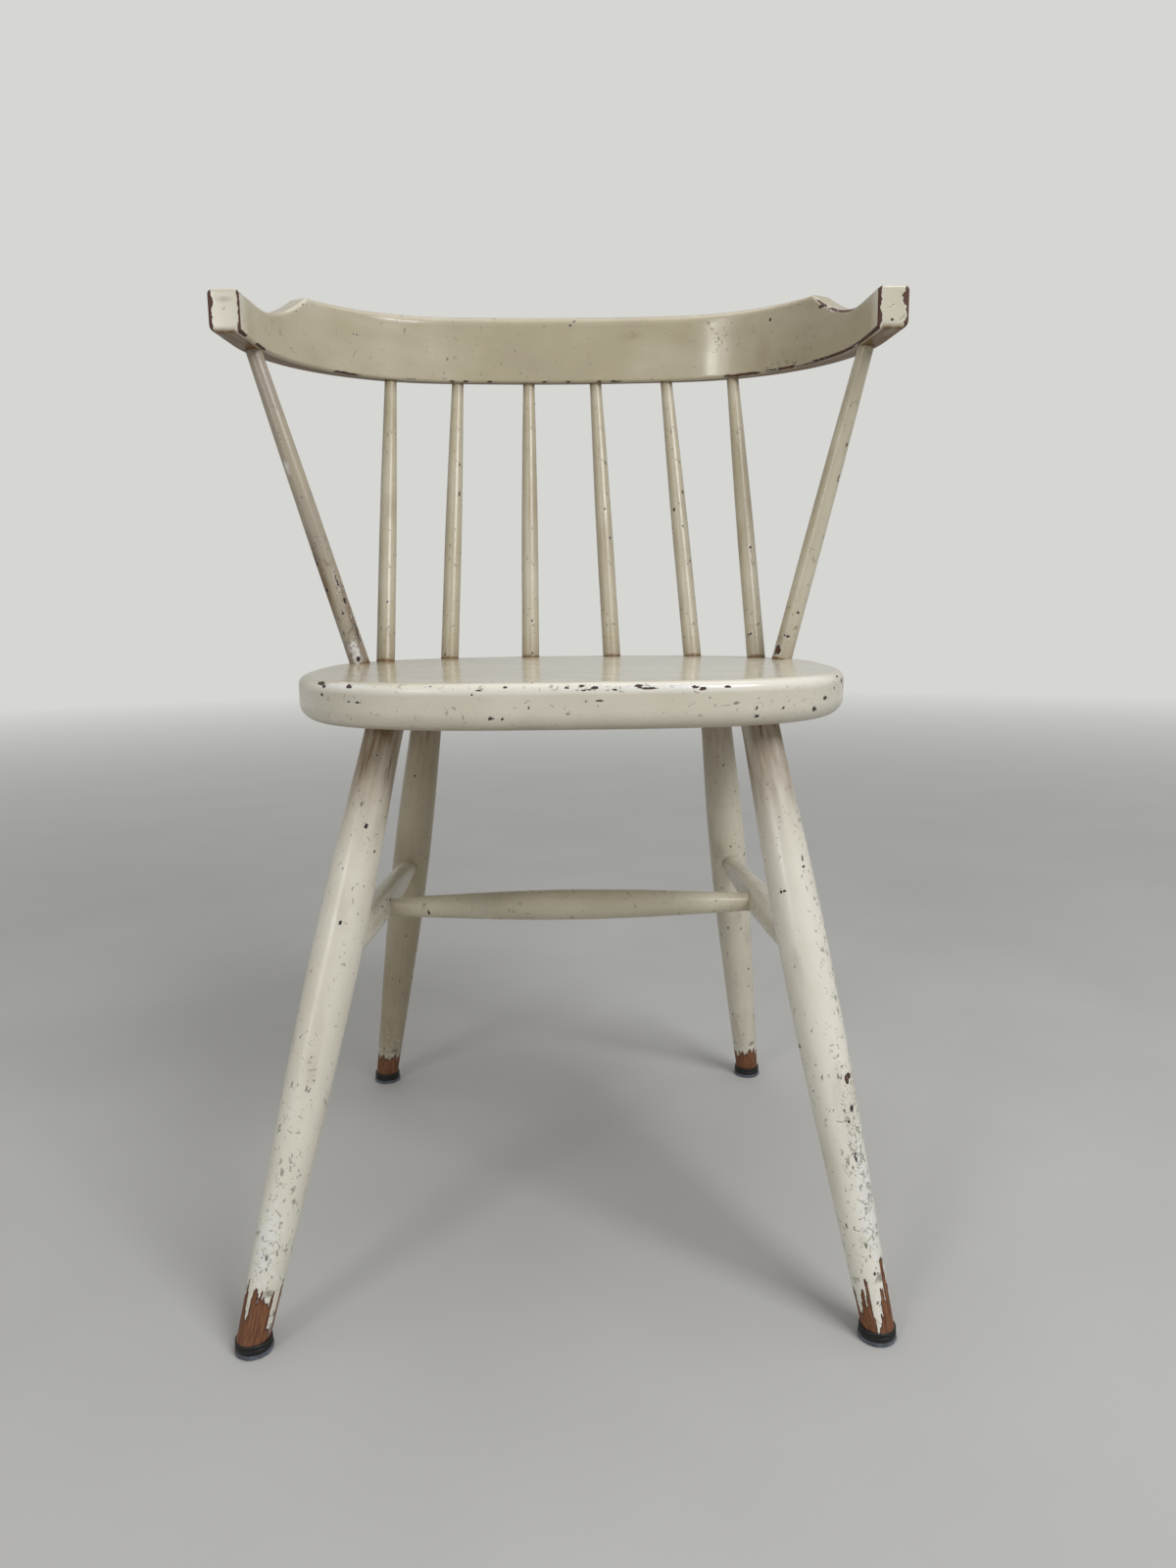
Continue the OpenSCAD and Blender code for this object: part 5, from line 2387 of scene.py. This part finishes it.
@dataclass
class Studio:
    """A pale floor, a plain surround and the softboxes."""

    floor: StudioFloor = field(default_factory=StudioFloor)
    radius_m: float = 6.0
    surround: str = "#CFD0D0"
    surround_strength: float = 0.34
    mirrored: str = "#B4B4B2"
    lamps: tuple[Lamp, ...] = (
        Lamp("window", (1.5, -1.7, 2.4), (0.0, 0.0, 0.3), (1.3, 1.1), 46.0, "#FCFDFF"),
        Lamp("side_window", (-1.6, -2.1, 1.6), (0.0, 0.0, 0.35), (0.5, 1.8), 10.0, "#FFFDFA"),
        Lamp("far_window", (-1.45, -2.5, 1.39), (0.16, 0.23, 0.75), (0.3, 0.24), 4.0),
        Lamp("top", (0.1, 0.2, 2.4), (0.0, 0.0, 0.4), (1.8, 1.6), 15.0),
    )

    def build(self) -> None:
        """Lays the floor, lights the surround and stands the lamps."""
        segments = 96
        turn = np.arange(segments) * 2 * np.pi / segments
        rim = np.stack(
            [self.radius_m * np.cos(turn), self.radius_m * np.sin(turn), np.zeros(segments)], axis=1
        )
        mesh = bpy.data.meshes.new("studio_floor")
        mesh.from_pydata(rim.tolist(), [], [tuple(range(segments))])
        mesh.materials.append(self.floor.material())
        ground = bpy.data.objects.new("studio_floor", mesh)
        bpy.context.scene.collection.objects.link(ground)
        self._surround()
        for lamp in self.lamps:
            lamp.build()

    def _surround(self) -> None:
        """Lights the world softly, and shows it to the camera at the floor's far colour."""
        world = bpy.data.worlds.new("studio_surround")
        bpy.context.scene.world = world
        world.use_nodes = True
        tree = world.node_tree
        tree.nodes.clear()
        light = add_node(
            tree,
            "ShaderNodeBackground",
            {"[Color]": linear(self.surround), "[Strength]": self.surround_strength},
        )
        path = add_node(tree, "ShaderNodeLightPath").outputs
        wall = blend_colour(tree, path["Is Camera Ray"], self.mirrored, self.floor.background)
        seen = add_node(tree, "ShaderNodeBackground", {"[Strength]": 1.0}, {"Color": wall})
        shown = maths(tree, "MAXIMUM", path["Is Camera Ray"], path["Is Glossy Ray"])
        mix = add_node(
            tree, "ShaderNodeMixShader", links={0: shown, 1: light.outputs[0], 2: seen.outputs[0]}
        )
        add_node(tree, "ShaderNodeOutputWorld", links={"Surface": mix.outputs[0]})


@dataclass(frozen=True)
class ViewCamera:
    """A wide phone-like camera at seat height in front of the chair."""

    at_mm: tuple[float, float, float] = (3.72, -923.775, 497.4)
    pitch: float = 9.397
    yaw: float = 0.917
    roll: float = 0.573
    lens: float = 24.993

    def build(self) -> None:
        """Makes the scene's camera."""
        pitch, yaw, roll = (math.radians(v) for v in (self.pitch, self.yaw, self.roll))
        ahead = Vector(
            (math.sin(yaw) * math.cos(pitch), math.cos(yaw) * math.cos(pitch), -math.sin(pitch))
        )
        right = Vector((math.cos(yaw), -math.sin(yaw), 0.0))
        down = ahead.cross(right)
        across = math.cos(roll) * right + math.sin(roll) * down
        below = -math.sin(roll) * right + math.cos(roll) * down
        turn = Matrix((across, -below, -ahead)).transposed()
        data = bpy.data.cameras.new("camera")
        data.lens = self.lens
        data.sensor_width = 36.0
        data.sensor_fit = "AUTO"
        data.clip_start, data.clip_end = 0.02, 40.0
        camera = bpy.data.objects.new("camera", data)
        camera.matrix_world = Matrix.Translation(Vector(self.at_mm) * MM) @ turn.to_4x4()
        bpy.context.scene.collection.objects.link(camera)
        bpy.context.scene.camera = camera


# ---------------------------------------------------------------- the chair


def corners(box: tuple[Vector, Vector]) -> list[list[float]]:
    """Turns a box's two corners to plain lists of numbers."""
    return [[float(v) for v in corner] for corner in box]


def main() -> None:
    """Builds the chair over its frame, then the studio."""
    logging.basicConfig(level=logging.INFO, format="%(name)s: %(message)s")
    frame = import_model()
    log.info("the frame has %d nodes", len(frame["nodes"]))
    bpy.context.scene.view_settings.view_transform = "Standard"
    paint = IvoryGlossPaint().material()
    turner = StickTree()
    under = Undercarriage(
        paint,
        MouldedPolythene().material(),
        PressedFelt().material(),
        PlainSteel().material(),
        turner,
    )
    made = under.build()
    board = SeatBoard()
    board.marks = seat_marks(board)
    made.append(board.build(paint))
    made += Back(paint, turner).build()
    log.info("%d pieces made", len(made))
    Studio().build()
    ViewCamera().build()


if __name__ == "__main__":
    main()
